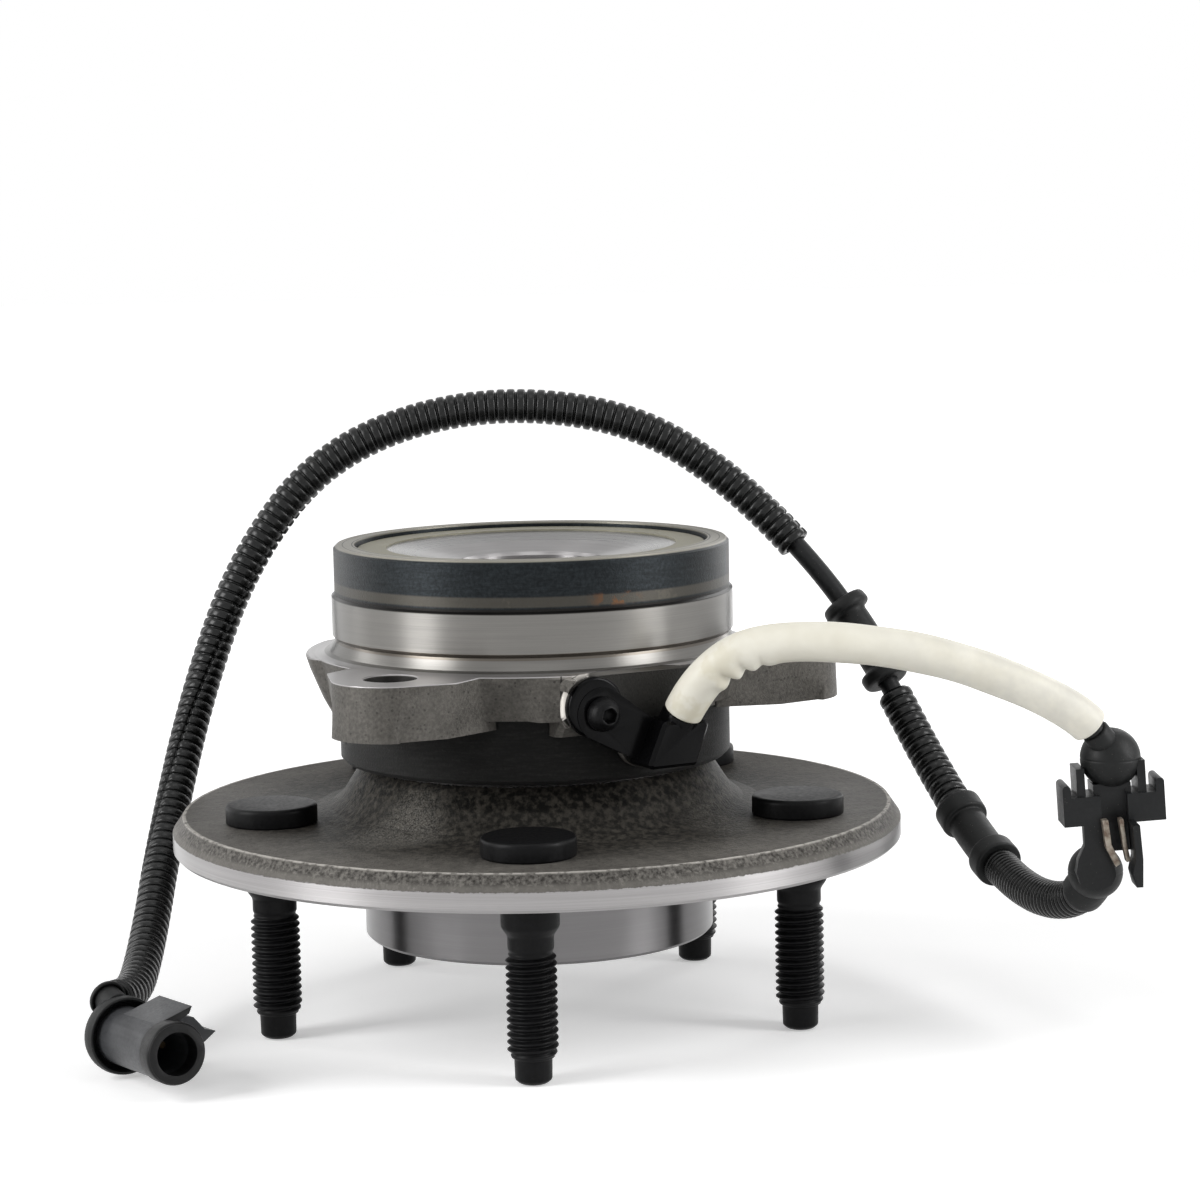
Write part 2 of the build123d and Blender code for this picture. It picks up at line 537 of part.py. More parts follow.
def sensor_body():
    """Moulded sensor: ear, arm, probe in the carrier, and the head with the lead's outlet."""
    length = probe_length()
    probe = Pos(PROBE_X, PROBE_Z, -length / 2) * Cylinder(PROBE_R, length)
    groove = Pos(PROBE_X, PROBE_Z, RING_AT) * (Cylinder(PROBE_R + 1, 2 * RING_SECTION_R)
                                               - Cylinder(ring_radius() - RING_SECTION_R, 3))
    head = extrude(make_face(Polyline(*HEAD_CORNERS, close=True)), amount=HEAD_OUT)
    head = fillet(head.edges().filter_by(Axis.Z), 1.2)
    head = chamfer(head.faces().sort_by(Axis.Z)[-1].edges(), 0.8)
    pole, magnet = sensor_core()
    hole = Pos(SCREW_X, SCREW_Z, SENSOR_PLATE_T / 2) * Cylinder(SCREW_R + LIMITER_WALL, SENSOR_PLATE_T + 1)
    body = sensor_arm() + head + probe - groove - pole - magnet - hole
    start, second = Vector(*LEAD_POINTS[0]), Vector(*LEAD_POINTS[1])
    axis = (second - start).normalized()
    body = sensor_plane() * body + cylinder_between(SLEEVE_R, start - axis * OUTLET_LEN, start)
    return body - cylinder_between(SLEEVE_R, start, start + axis * 12)


def sensor_limiter():
    """Steel bush that takes the screw's clamping load through the plastic ear."""
    ring = Pos(SCREW_X, SCREW_Z) * (Circle(SCREW_R + LIMITER_WALL) - Circle(SCREW_R))
    return sensor_plane() * extrude(ring, amount=SENSOR_PLATE_T)


def sensor_screw():
    """Socket-head screw that holds the sensor on its seat."""
    shank_len = SCREW_DEPTH + SENSOR_PLATE_T
    shank = Pos(SCREW_X, SCREW_Z, SENSOR_PLATE_T - shank_len / 2) * Cylinder(SCREW_R, shank_len)
    head = Pos(SCREW_X, SCREW_Z, SENSOR_PLATE_T + SCREW_HEAD_H / 2) * Cylinder(SCREW_HEAD_R, SCREW_HEAD_H)
    head = fillet(head.edges().sort_by(Axis.Z)[-1], 1.0)
    socket = Pos(SCREW_X, SCREW_Z, SENSOR_PLATE_T + SCREW_HEAD_H - 2.6) * extrude(RegularPolygon(2.3, 6), amount=4)
    return sensor_plane() * (head + shank - socket)


def ring_radius():
    """Centre radius of the probe's sealing ring, so that it touches the wall of the hole."""
    return PROBE_R + PROBE_GAP - RING_SECTION_R


def sensor_o_ring():
    """Round rubber ring in the probe's groove."""
    return sensor_plane() * Pos(PROBE_X, PROBE_Z, RING_AT) * Torus(ring_radius(), RING_SECTION_R)


def sensor_pole():
    return sensor_plane() * sensor_core()[0]


def sensor_magnet():
    return sensor_plane() * sensor_core()[1]


# ================================================================ cables and what is on them
def corner_radii(points):
    """Radius of each corner of a route: as large as its two runs allow."""
    radii = []
    for before, here, after in zip(points, points[1:], points[2:]):
        first, second = Vector(*here) - Vector(*before), Vector(*after) - Vector(*here)
        turn = math.radians(first.get_angle(second))
        radii.append(0.45 * min(first.length, second.length) / math.tan(turn / 2))
    return radii


def route(points):
    """Straight runs joined by tangent arcs."""
    return Wire(FilletPolyline(*points, radius=corner_radii(points)).edges())


def stretch(path, start, end):
    """Part of a route between two lengths along it."""
    return path.trim(start / path.length, end / path.length)


def tube(path, radius, bore=0.0):
    """Round tube along a route, open through its length when it has a bore."""
    section = Plane(origin=path @ 0, z_dir=path % 0) * Circle(radius)
    outer = sweep(section, path=path)
    if bore == 0.0:
        return outer
    inner = sweep(Plane(origin=path @ 0, z_dir=path % 0) * Circle(bore), path=path)
    return outer - inner


def on_path(path, length):
    """Plane square to a route at a length along it."""
    share = length / path.length
    return Plane(origin=path @ share, z_dir=path % share)


def grommet(path, start, end, waist, collar, collar_width):
    """Rubber grommet moulded round the cable, with a collar at each end."""
    body = tube(stretch(path, start, end), waist, CABLE_R)
    body += tube(stretch(path, start, start + collar_width), collar, CABLE_R)
    body += tube(stretch(path, end - collar_width, end), collar, CABLE_R)
    return body


def hemmed(x, half_depth, z0, height):
    """Upright lip of the clip's bar with a rounded top."""
    lip = Pos(x, 0, z0 + height / 2) * Box(HOOK_T, 2 * half_depth, height)
    return fillet(lip.edges().filter_by(Axis.Y).sort_by(Axis.Z)[-2:], HOOK_T / 2 - 0.02)


def clip_tongue():
    """Front tongue of the clip: it widens downwards to a round end over the lower boot."""
    outline = Polyline((-7.6, -3.0), (-7.6, -8.2), (-9.3, -11.4), (-10.0, -14.5), (-9.2, -17.4), (-7.0, -18.9),
                       (-4.2, -19.2), (-1.8, -18.2), (-0.6, -16.0), (-0.9, -13.2), (-2.6, -8.3), (-3.5, -3.0),
                       close=True)
    return Pos(0, -BAR_D / 2, 0) * extrude(make_face(Plane.XZ * outline), amount=-3.0)


def clip_leg():
    """Sprung leg of the clip and the web behind the steel spring."""
    leg = Polyline((2.9, -3.0), (4.6, -3.0), (4.9, -11.2), (4.5, -17.8), (3.0, -17.8), (2.3, -14.4), (3.2, -11.0),
                   close=True)
    web = Polyline((-4.0, -3.0), (4.4, -3.0), (4.7, -10.5), (-3.0, -10.5), close=True)
    leg_part = Pos(0, -BAR_D / 2 + 0.3, 0) * extrude(make_face(Plane.XZ * leg), amount=-7.0)
    return leg_part + Pos(0, 1.0, 0) * extrude(make_face(Plane.XZ * web), amount=-3.5)


def clip_cradle():
    """Saddle under the upper boot and a wall on each side of it."""
    saddle = Pos(0, 1.0, 4.4) * Box(9.0, BAR_D - 2.0, 3.0)
    left = Pos(-7.5, 0.5, 6.4) * Box(2.0, BAR_D - 1.0, 7.4)
    right = Pos(7.0, 0.5, 6.9) * Box(2.0, BAR_D - 1.0, 8.4)
    return saddle + left + right


def clip_place():
    return Pos(*CLIP_AT) * Rot(0, -CLIP_LEAN, 0)


def clip_body(path):
    """Moulded routing clip: cross bar with turned-up ends, cradle, tongue and sprung leg."""
    bar = Box(BAR_W, BAR_D, BAR_H)
    top = BAR_H / 2 - 0.2
    hooks = hemmed(-BAR_W / 2 + HOOK_T / 2, BAR_D / 2, top, HOOK_H)
    hooks += hemmed(BAR_W / 2 - HOOK_T / 2, BAR_D / 2, top, HOOK_H + 0.3)
    channel = Pos(0, -BAR_D / 2 + 1.2, 0) * Box(CHANNEL_W, 2.4, BAR_H + 2)
    body = clip_place() * (bar + hooks + clip_cradle() + clip_tongue() + clip_leg() - channel)
    body -= Pos(*UPPER_BOOT_AT) * Sphere(UPPER_BOOT_R)
    body -= Pos(*LOWER_BOOT_AT) * Sphere(LOWER_BOOT_R)
    body -= tube(stretch(path, 0, 40), CONDUIT_R + 0.9)
    return body - clip_spring()


def clip_spring():
    """Two bent legs of the steel spring in the clip's channel."""
    left = Polyline((-3.5, -2.0), (-2.1, -2.0), (-1.6, -8.0), (0.3, -12.6), (-0.9, -13.4), (-3.0, -8.6), close=True)
    right = Polyline((0.5, -2.0), (1.5, -2.0), (2.0, -8.0), (2.7, -12.2), (1.7, -12.5), (1.0, -8.2), close=True)
    strips = extrude(make_face(Plane.XZ * left), amount=-3.0) + extrude(make_face(Plane.XZ * right), amount=-3.0)
    return clip_place() * (Pos(0, -BAR_D / 2 + 0.6, 0) * strips)


def upper_boot(lead_path):
    """Round rubber boot where the lead enters the clip."""
    ball = Pos(*UPPER_BOOT_AT) * Sphere(UPPER_BOOT_R)
    cuff = tube(stretch(lead_path, lead_path.length - 10.5, lead_path.length - 4), CABLE_R + 0.7)
    return ball + cuff - tube(stretch(lead_path, lead_path.length - 12, lead_path.length), CABLE_R)


def lower_boot(path):
    """Round rubber boot where the cable leaves the clip, with a cuff to the conduit."""
    ball = Pos(*LOWER_BOOT_AT) * Sphere(LOWER_BOOT_R)
    cuff = tube(stretch(path, 1.0, LOWER_CONDUIT_START), CONDUIT_R + 0.7)
    return ball + cuff - tube(stretch(path, 0, 20), CABLE_R)


def connector_plane(out=0.0):
    """Plane square to the connector's axis: local z to its mouth, local y upwards."""
    tilt = math.radians(CONNECTOR_TILT)
    flat = at(math.cos(tilt), CONNECTOR_DEG)
    axis = Vector(flat.X, flat.Y, math.sin(tilt))
    side = Vector(-flat.Y, flat.X, 0).normalized()
    return Plane(origin=Vector(*CONNECTOR_AT) + axis * out, x_dir=side, z_dir=axis)


def connector_boot(path):
    """Rubber boot behind the connector: cupped disc, neck and the ring that the conduit enters."""
    plane = connector_plane()
    disc = fillet((Pos(0, 0, -DISC_T / 2) * Cylinder(DISC_R, DISC_T)).edges(), 2.2)
    cup = Pos(0, 0, -DISC_CUP_D / 2) * Cone(BARREL_R, DISC_CUP_R, DISC_CUP_D) + Pos(0, 0, 5) * Cylinder(DISC_R, 10)
    mouth = path @ 1
    foot = mouth + plane.z_dir * NECK_LEN - plane.y_dir * 1.6
    neck = cylinder_between(NECK_R, mouth, foot)
    ring = cylinder_between(NECK_RING_R, mouth, mouth + plane.z_dir * NECK_RING_W)
    body = plane * disc + neck + ring - plane * cup
    return body - tube(stretch(path, path.length - 10, path.length), CABLE_R)


def connector_wings():
    """Latch of the connector: a springing plate over the barrel and a hooked rib beside it."""
    plate = Polyline((-3.4, 5.6), (-2.8, 6.6), (6.4, 9.6), (5.6, 8.0), (2.0, 6.0), close=True)
    rib = Polyline((4.0, 5.2), (5.4, 7.0), (8.0, 6.3), (10.6, 3.2), (13.4, 2.3), (10.4, 0.2), (6.3, -0.2), close=True)
    wings = Pos(0, 0, PLATE_START) * extrude(make_face(plate), amount=PLATE_END - PLATE_START)
    return wings + Pos(0, 0, RIB_START) * extrude(make_face(rib), amount=RIB_END - RIB_START)


def connector_housing():
    """Hard plastic barrel with the socket and its latch."""
    barrel = Pos(0, 0, (BARREL_LEN - DISC_CUP_D) / 2) * Cylinder(BARREL_R, BARREL_LEN + DISC_CUP_D)
    rim = Pos(0, 0, BARREL_LEN - RIM_W / 2) * Cylinder(RIM_R, RIM_W)
    rim = fillet(rim.edges().sort_by(Axis.Z)[-1], 1.0)
    body = barrel + rim + connector_wings()
    body -= Pos(0, 0, BARREL_LEN - SOCKET_DEPTH / 2) * Cylinder(SOCKET_R, SOCKET_DEPTH)
    return connector_plane() * body


def connector_pins():
    """Two contact pins on the socket's floor."""
    plane = connector_plane(BARREL_LEN - SOCKET_DEPTH)
    pins = [plane * Pos(side * PIN_SPREAD, 0, PIN_LEN / 2) * Cylinder(PIN_R, PIN_LEN) for side in (-1, 1)]
    return Compound(children=pins)


# ================================================================ build
save("wheel_hub", wheel_hub())
save("wheel_studs", wheel_studs())
save("tone_ring", tone_ring())
save("outboard_cone", inner_ring(OUTBOARD_ROW_Z, -1, OUTBOARD_CONE_END, OUTBOARD_CONE_END))
save("inboard_cone", inner_ring(INBOARD_ROW_Z, 1, INBOARD_CONE_END, SPINDLE_END_Z))
save("outboard_rollers", Compound(children=roller_row(OUTBOARD_ROW_Z, -1)))
save("inboard_rollers", Compound(children=roller_row(INBOARD_ROW_Z, 1)))
save("outboard_cage", cage(OUTBOARD_ROW_Z, -1))
save("inboard_cage", cage(INBOARD_ROW_Z, 1))
save("carrier", carrier())
save("inboard_shield", inboard_shield())
save("inboard_seal_lip", inboard_seal_lip())
save("outboard_seal_case", outboard_seal_case())
save("outboard_seal_lip", outboard_seal_lip())
save("sensor_body", sensor_body())
save("sensor_limiter", sensor_limiter())
save("sensor_screw", sensor_screw())
save("sensor_o_ring", sensor_o_ring())
save("sensor_pole", sensor_pole())
save("sensor_magnet", sensor_magnet())

lead = route(LEAD_POINTS)
cable = route(CABLE_POINTS)
print("lead radii", [round(r, 1) for r in corner_radii(LEAD_POINTS)], "length", round(lead.length, 1))
print("cable radii", [round(r, 1) for r in corner_radii(CABLE_POINTS)], "length", round(cable.length, 1))
save("lead_cable", tube(lead, CABLE_R))
save("lead_sleeve", tube(stretch(lead, 0, SLEEVE_END), SLEEVE_R, SLEEVE_BORE_R))
save("main_cable", tube(cable, CABLE_R))
save("lower_conduit", tube(stretch(cable, LOWER_CONDUIT_START, LOWER_CONDUIT_END), CONDUIT_R, CONDUIT_BORE_R))
save("large_grommet", grommet(cable, LOWER_CONDUIT_END, LARGE_GROMMET_END, LARGE_WAIST_R, LARGE_COLLAR_R,
                              LARGE_COLLAR_W))
save("middle_conduit", tube(stretch(cable, LARGE_GROMMET_END, MIDDLE_CONDUIT_END), CONDUIT_R, CONDUIT_BORE_R))
save("small_grommet", grommet(cable, SMALL_GROMMET_START, SMALL_GROMMET_END, SMALL_WAIST_R, SMALL_COLLAR_R,
                              SMALL_COLLAR_W))
save("upper_conduit", tube(stretch(cable, UPPER_CONDUIT_START, cable.length - UPPER_CONDUIT_STOP_SHORT),
                           CONDUIT_R, CONDUIT_BORE_R))
save("clip_body", clip_body(cable))
save("clip_spring", clip_spring())
save("clip_upper_boot", upper_boot(lead))
save("clip_lower_boot", lower_boot(cable))
save("connector_boot", connector_boot(cable))
save("connector_housing", connector_housing())
save("connector_pins", connector_pins())
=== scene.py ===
# %% [markdown]
# # Wheel hub bearing
# A hub bearing carries a driven wheel: a forged flange with five studs turns on two rows of tapered
# rollers inside a bolted carrier. A speed sensor looks at a toothed ring inside, and its lead runs
# through a clip to a long cable in ribbed conduit. The construction comes from the CAD frame, which is
# loaded first and never changed. This script gives it finishes, and makes the pieces whose shape is
# too fine for the frame: threads, ribs, grommets, boots and the cables themselves.

# %% Load the frame
import math

import bmesh
import bpy
import numpy as np
from mathutils import Matrix, Vector


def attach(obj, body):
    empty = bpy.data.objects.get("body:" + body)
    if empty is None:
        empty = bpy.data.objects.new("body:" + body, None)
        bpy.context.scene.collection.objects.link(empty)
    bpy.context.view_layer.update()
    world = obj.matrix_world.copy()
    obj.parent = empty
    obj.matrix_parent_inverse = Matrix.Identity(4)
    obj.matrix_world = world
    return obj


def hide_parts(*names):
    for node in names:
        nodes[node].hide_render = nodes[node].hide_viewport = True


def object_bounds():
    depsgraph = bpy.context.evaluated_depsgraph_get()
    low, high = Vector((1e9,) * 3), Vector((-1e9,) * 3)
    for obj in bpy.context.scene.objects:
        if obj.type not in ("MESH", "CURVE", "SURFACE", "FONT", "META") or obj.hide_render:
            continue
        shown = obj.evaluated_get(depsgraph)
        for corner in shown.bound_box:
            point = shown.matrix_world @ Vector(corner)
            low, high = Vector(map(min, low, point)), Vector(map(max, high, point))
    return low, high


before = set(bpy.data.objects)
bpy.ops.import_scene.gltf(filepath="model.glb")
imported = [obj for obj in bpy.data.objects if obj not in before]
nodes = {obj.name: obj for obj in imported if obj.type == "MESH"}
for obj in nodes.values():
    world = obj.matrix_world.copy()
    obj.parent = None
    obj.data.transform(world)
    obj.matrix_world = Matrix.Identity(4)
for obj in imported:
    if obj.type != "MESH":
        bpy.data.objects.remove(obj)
cad_box = [[float(value) for value in corner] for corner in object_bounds()]
MM = 0.001
print("nodes", len(nodes), "box", cad_box)

# %% [markdown]
# ## Camera
# The camera stands a little above the flange, almost level, and far enough away for a long lens. Its
# place and turn are written as a point and three small angles, and the matrix is put together from the
# three directions that a camera has: right, up and backwards.

# %% Camera
CAMERA_AT = Vector((-0.00026, -0.81617, 0.15943))
CAMERA_YAW, CAMERA_PITCH, CAMERA_ROLL = 0.0209, 0.1221, -0.0206
LENS_MM = 99.27


def camera_axes(yaw, pitch, roll):
    """Right, up and backwards. The view is a level heading tipped down by the pitch.

    Right and up are turned by the roll about the view."""
    view = Vector((math.sin(yaw) * math.cos(pitch), math.cos(yaw) * math.cos(pitch), -math.sin(pitch)))
    right = Vector((math.cos(yaw), -math.sin(yaw), 0))
    up = right.cross(view)
    turned_right = math.cos(roll) * right + math.sin(roll) * up
    turned_up = -math.sin(roll) * right + math.cos(roll) * up
    return turned_right, turned_up, -view


camera = bpy.data.objects.new("camera", bpy.data.cameras.new("camera"))
camera.data.lens = LENS_MM
camera.data.sensor_width = 36
camera.data.clip_end = 20
axes = camera_axes(CAMERA_YAW, CAMERA_PITCH, CAMERA_ROLL)
camera.matrix_world = Matrix.Translation(CAMERA_AT) @ Matrix(axes).transposed().to_4x4()
bpy.context.scene.collection.objects.link(camera)
bpy.context.scene.camera = camera

# %% [markdown]
# ## Cables
# Each cable is one NURBS curve. Its control points are listed, the curve bends smoothly between them,
# and a round bevel gives it its thickness. The order is set after the points are added, because a new
# spline with too few points falls back to straight runs.

# %% Cables
CABLE_R = 2.65 * MM
LEAD_POINTS = [(34.7, -47.3, 37.9), (40.5, -51.6, 49.8), (58.0, -54.0, 56.3), (92.0, -51.0, 51.8),
               (119.0, -48.5, 41.2), (133.2, -48.6, 31.6), (136.4, -43.0, 24.0)]
CABLE_POINTS = [(133.6, -40.5, -3.2), (131.8, -36.0, -11.6), (123.0, -19.0, -15.6), (115.0, 9.0, -10.5),
                (105.0, 33.0, 6.0), (93.0, 50.0, 31.0), (82.0, 60.0, 53.0), (55.0, 73.0, 82.4),
                (26.0, 76.0, 100.6), (-16.0, 77.0, 104.6), (-54.5, 75.0, 92.0), (-77.0, 68.0, 64.2),
                (-89.5, 55.0, 30.0), (-96.0, 25.0, -3.0), (-98.0, -6.0, -25.0), (-99.0, -33.5, -31.8),
                (-103.2, -45.6, -27.6)]


def cable_curve(name, points_mm):
    """A quadratic NURBS curve that starts and ends on its outer control points."""
    data = bpy.data.curves.new(name, "CURVE")
    data.dimensions = "3D"
    data.resolution_u = 32
    spline = data.splines.new("NURBS")
    spline.points.add(len(points_mm) - 1)
    for control, place in zip(spline.points, points_mm):
        control.co = (*(MM * value for value in place), 1)
    spline.order_u = 3
    spline.use_endpoint_u = True
    cable = bpy.data.objects.new(name, data)
    bpy.context.scene.collection.objects.link(cable)
    return cable


lead_wire = cable_curve("lead_wire", LEAD_POINTS)
main_wire = cable_curve("main_wire", CABLE_POINTS)

# %% [markdown]
# ## Following a cable
# Conduit, sleeve and grommets lie along the cables, so they need the cable's own line and, at each
# point of it, two directions square to it. The line is read back from the NURBS curve. The directions
# are carried from each point to the next with as little turning as possible, which keeps a seam along a
# conduit from winding round it.

# %% Lines that pieces follow
def unit(vectors):
    """Each row divided by its length."""
    return vectors / np.linalg.norm(vectors, axis=-1, keepdims=True)


class Line:
    """A line in space with two directions square to it at every point."""

    def __init__(self, points, first_side=(0.0, 0.0, 1.0)):
        """Each side is the one before it, less its share along the direction ahead, made one long again."""
        self.points = points
        steps = np.linalg.norm(np.diff(points, axis=0), axis=1)
        self.lengths = np.concatenate([[0.0], np.cumsum(steps)])
        self.total = self.lengths[-1]
        self.ahead = unit(np.gradient(points, self.lengths, axis=0))
        self.side = np.empty_like(points)
        side = np.array(first_side, float)
        for index, ahead in enumerate(self.ahead):
            side = unit(side - ahead * side.dot(ahead))
            self.side[index] = side

    def at(self, lengths):
        """Points, directions ahead and two directions square to them, read between the line's own points."""
        def read(table):
            return np.stack([np.interp(lengths, self.lengths, table[:, axis]) for axis in range(3)], axis=-1)
        ahead = unit(read(self.ahead))
        side = read(self.side)
        side = unit(side - ahead * np.sum(side * ahead, axis=-1, keepdims=True))
        return read(self.points), ahead, side, np.cross(ahead, side)


def line_of(cable):
    """The cable's own line, as Blender works it out from its NURBS spline without a bevel."""
    bpy.context.view_layer.update()
    mesh = bpy.data.meshes.new_from_object(cable)
    flat = np.empty(3 * len(mesh.vertices))
    mesh.vertices.foreach_get("co", flat)
    bpy.data.meshes.remove(mesh)
    return Line(flat.reshape(-1, 3))


def straight_line(start, end):
    """A straight line between two points in millimetres."""
    share = np.linspace(0, 1, 3)[:, None]
    start, end = np.array(start) * MM, np.array(end) * MM
    side = (0.0, 0.0, 1.0) if abs(unit(end - start)[2]) < 0.9 else (1.0, 0.0, 0.0)
    return Line(start + share * (end - start), side)


lead_line, main_line = line_of(lead_wire), line_of(main_wire)
for wire in (lead_wire, main_wire):
    wire.data.bevel_depth = CABLE_R
    wire.data.bevel_resolution = 6
    wire.data.use_fill_caps = True
print("lead", round(lead_line.total, 4), "cable", round(main_line.total, 4))

# %% [markdown]
# ## Surfaces from grids
# Every new piece is a grid of points worked out with whole arrays: rows run along the piece and columns
# run round it. Joining neighbours gives the faces. A row that shrinks to one point makes a pole, and
# merging its doubles closes the surface.

# %% Grid surfaces
MERGE_AT = 1e-7


def piece_from_bmesh(name, work):
    """A smoothly shaded object from a worked mesh, which is freed."""
    mesh = bpy.data.meshes.new(name)
    work.to_mesh(mesh)
    work.free()
    mesh.polygons.foreach_set("use_smooth", [True] * len(mesh.polygons))
    piece = bpy.data.objects.new(name, mesh)
    bpy.context.scene.collection.objects.link(piece)
    return piece


def grid_faces(rows, columns, loop_rows):
    """Four neighbours in a grid make a face: (i, j), (i, j + 1), (i + 1, j + 1), (i + 1, j).

    Columns close on themselves, and rows do so too where the piece is a loop."""
    index = np.arange(rows * columns).reshape(rows, columns)
    next_row = np.roll(index, -1, axis=0)
    if not loop_rows:
        index, next_row = index[:-1], next_row[:-1]
    faces = [index, np.roll(index, -1, axis=1), np.roll(next_row, -1, axis=1), next_row]
    return np.stack(faces, axis=-1).reshape(-1, 4)


def piece_from_grids(name, grids, loop_rows=False):
    """One piece from several grids of points, merged at its poles before its normals are worked out."""
    points, faces, count = [], [], 0
    for grid in grids:
        rows, columns = grid.shape[:2]
        points.append(grid.reshape(-1, 3))
        faces.append(grid_faces(rows, columns, loop_rows) + count)
        count += rows * columns
    raw = bpy.data.meshes.new(name + "_raw")
    raw.from_pydata(np.concatenate(points).tolist(), [], np.concatenate(faces).tolist())
    work = bmesh.new()
    work.from_mesh(raw)
    bpy.data.meshes.remove(raw)
    bmesh.ops.remove_doubles(work, verts=work.verts, dist=MERGE_AT)
    bmesh.ops.recalc_face_normals(work, faces=work.faces)
    return piece_from_bmesh(name, work)


def rings(line, along, radius, columns=32, growth=0.0, phases=None):
    """Rings square to a line: its point plus radius times a unit vector turned round it.

    Growth is added to the radius. Growth and phases may differ by row and column."""
    points, _, side, other = line.at(np.asarray(along))
    turn = np.linspace(0, 2 * np.pi, columns, endpoint=False) if phases is None else phases
    turn = np.atleast_2d(turn)[..., None]
    spoke = np.cos(turn) * side[:, None] + np.sin(turn) * other[:, None]
    return points[:, None] + (np.asarray(radius)[:, None] + growth)[..., None] * spoke


def turned(name, line, profile_mm, columns=48, loop_rows=False):
    """A turned piece: its profile is a list of (length along the line, radius) in millimetres."""
    along, radius = MM * np.array(profile_mm, float).T
    return piece_from_grids(name, [rings(line, along, radius, columns)], loop_rows)


def filled_in(profile, step):
    """A profile with points added so that no two neighbours are further apart than a step."""
    points = np.array(profile, float)
    counts = np.maximum(1, np.ceil(np.linalg.norm(np.diff(points, axis=0), axis=1) / step).astype(int))
    place = np.concatenate([index + np.arange(count) / count for index, count in enumerate(counts)])
    place = np.append(place, len(points) - 1)
    return np.stack([np.interp(place, np.arange(len(points)), points[:, axis]) for axis in (0, 1)], axis=1)


def rounded(profile, radius, steps=4):
    """A profile with each sharp inner corner replaced by a short curve that starts a radius away from it."""
    points = np.array(profile, float)
    result = [points[:1]]
    share = np.linspace(0, 1, steps)[:, None]
    for before, here, after in zip(points[:-2], points[1:-1], points[2:]):
        reach = min(radius, 0.45 * np.linalg.norm(here - before), 0.45 * np.linalg.norm(after - here))
        start, end = here + reach * unit(before - here), here + reach * unit(after - here)
        result.append((1 - share) ** 2 * start + 2 * share * (1 - share) * here + share ** 2 * end)
    return np.concatenate(result + [points[-1:]])

# %% [markdown]
# ## Studio
# A pale floor just under the stud tips, a white surround that metal can reflect, and soft lamps. The
# floor and the surround show white to the camera through the Light Path node, so the lamps can stay at a
# plain level.

# %% Floor, surround and lamps
scene = bpy.context.scene
scene.view_settings.view_transform = "Standard"
FLOOR_DROP = 0.0002
FLOOR_Z = cad_box[0][2] - FLOOR_DROP
FLOOR_HALF = 6.0


def link(tree, kind, inputs=None, **settings):
    """Add a shader node. Inputs maps a socket's name or number to a value or to another node's output."""
    made = tree.nodes.new(kind)
    for key, value in settings.items():
        setattr(made, key, value)
    for key, value in (inputs or {}).items():
        if isinstance(value, bpy.types.NodeSocket):
            tree.links.new(value, made.inputs[key])
        else:
            made.inputs[key].default_value = value
    return made


def math_node(tree, operation, *values):
    """One step of arithmetic."""
    return link(tree, "ShaderNodeMath", dict(enumerate(values)), operation=operation).outputs[0]


def stepped(tree, value, low, high, to_low=0.0, to_high=1.0):
    """A smooth change from one level to another as a value goes from low to high."""
    made = link(tree, "ShaderNodeMapRange", {0: value, 1: low, 2: high, 3: to_low, 4: to_high},
                interpolation_type="SMOOTHSTEP")
    return made.outputs[0]


def object_place(tree):
    """The point being shaded, in the piece's own space, which is the same for every piece here."""
    return link(tree, "ShaderNodeTexCoord").outputs["Object"]


def seen_directly(tree):
    """1 for rays from the camera, from gloss and through glass, else 0."""
    path = link(tree, "ShaderNodeLightPath")
    first = math_node(tree, "MAXIMUM", path.outputs["Is Camera Ray"], path.outputs["Is Glossy Ray"])
    return math_node(tree, "MAXIMUM", first, path.outputs["Is Transmission Ray"])


world = bpy.data.worlds.new("surround")
scene.world = world
world.use_nodes = True
world_tree = world.node_tree
world_tree.nodes.clear()
FILL_LEVEL = 0.25
level = link(world_tree, "ShaderNodeMapRange", {0: seen_directly(world_tree), 3: FILL_LEVEL, 4: 1.0})
surround = link(world_tree, "ShaderNodeBackground", {0: (1, 1, 1, 1), 1: level.outputs[0]})
link(world_tree, "ShaderNodeOutputWorld", {0: surround.outputs[0]})

floor_mesh = bpy.data.meshes.new("floor")
corners = [(-1, -1), (1, -1), (1, 1), (-1, 1)]
floor_mesh.from_pydata([(FLOOR_HALF * x, FLOOR_HALF * y, FLOOR_Z) for x, y in corners], [], [(0, 1, 2, 3)])
floor = bpy.data.objects.new("floor", floor_mesh)
scene.collection.objects.link(floor)
floor_paint = bpy.data.materials.new("floor")
floor_paint.use_nodes = True
floor_tree = floor_paint.node_tree
NEAR_LIFT, FAR_LIFT, NEAR_R, FAR_R = 0.36, 0.80, 0.18, 0.7
middle = link(floor_tree, "ShaderNodeVectorMath", {0: object_place(floor_tree)}, operation="LENGTH")
outwards = stepped(floor_tree, middle.outputs["Value"], NEAR_R, FAR_R, NEAR_LIFT, FAR_LIFT)
lift = math_node(floor_tree, "MULTIPLY", seen_directly(floor_tree), outwards)
floor_shader = floor_tree.nodes["Principled BSDF"]
floor_shader.inputs["Base Color"].default_value = (0.86, 0.86, 0.86, 1)
floor_shader.inputs["Roughness"].default_value = 0.9
floor_shader.inputs["Specular IOR Level"].default_value = 0.1
floor_shader.inputs["Emission Color"].default_value = (1, 1, 1, 1)
floor_tree.links.new(lift, floor_shader.inputs["Emission Strength"])
floor_mesh.materials.append(floor_paint)


LAMPS_AIM_Z = 0.02


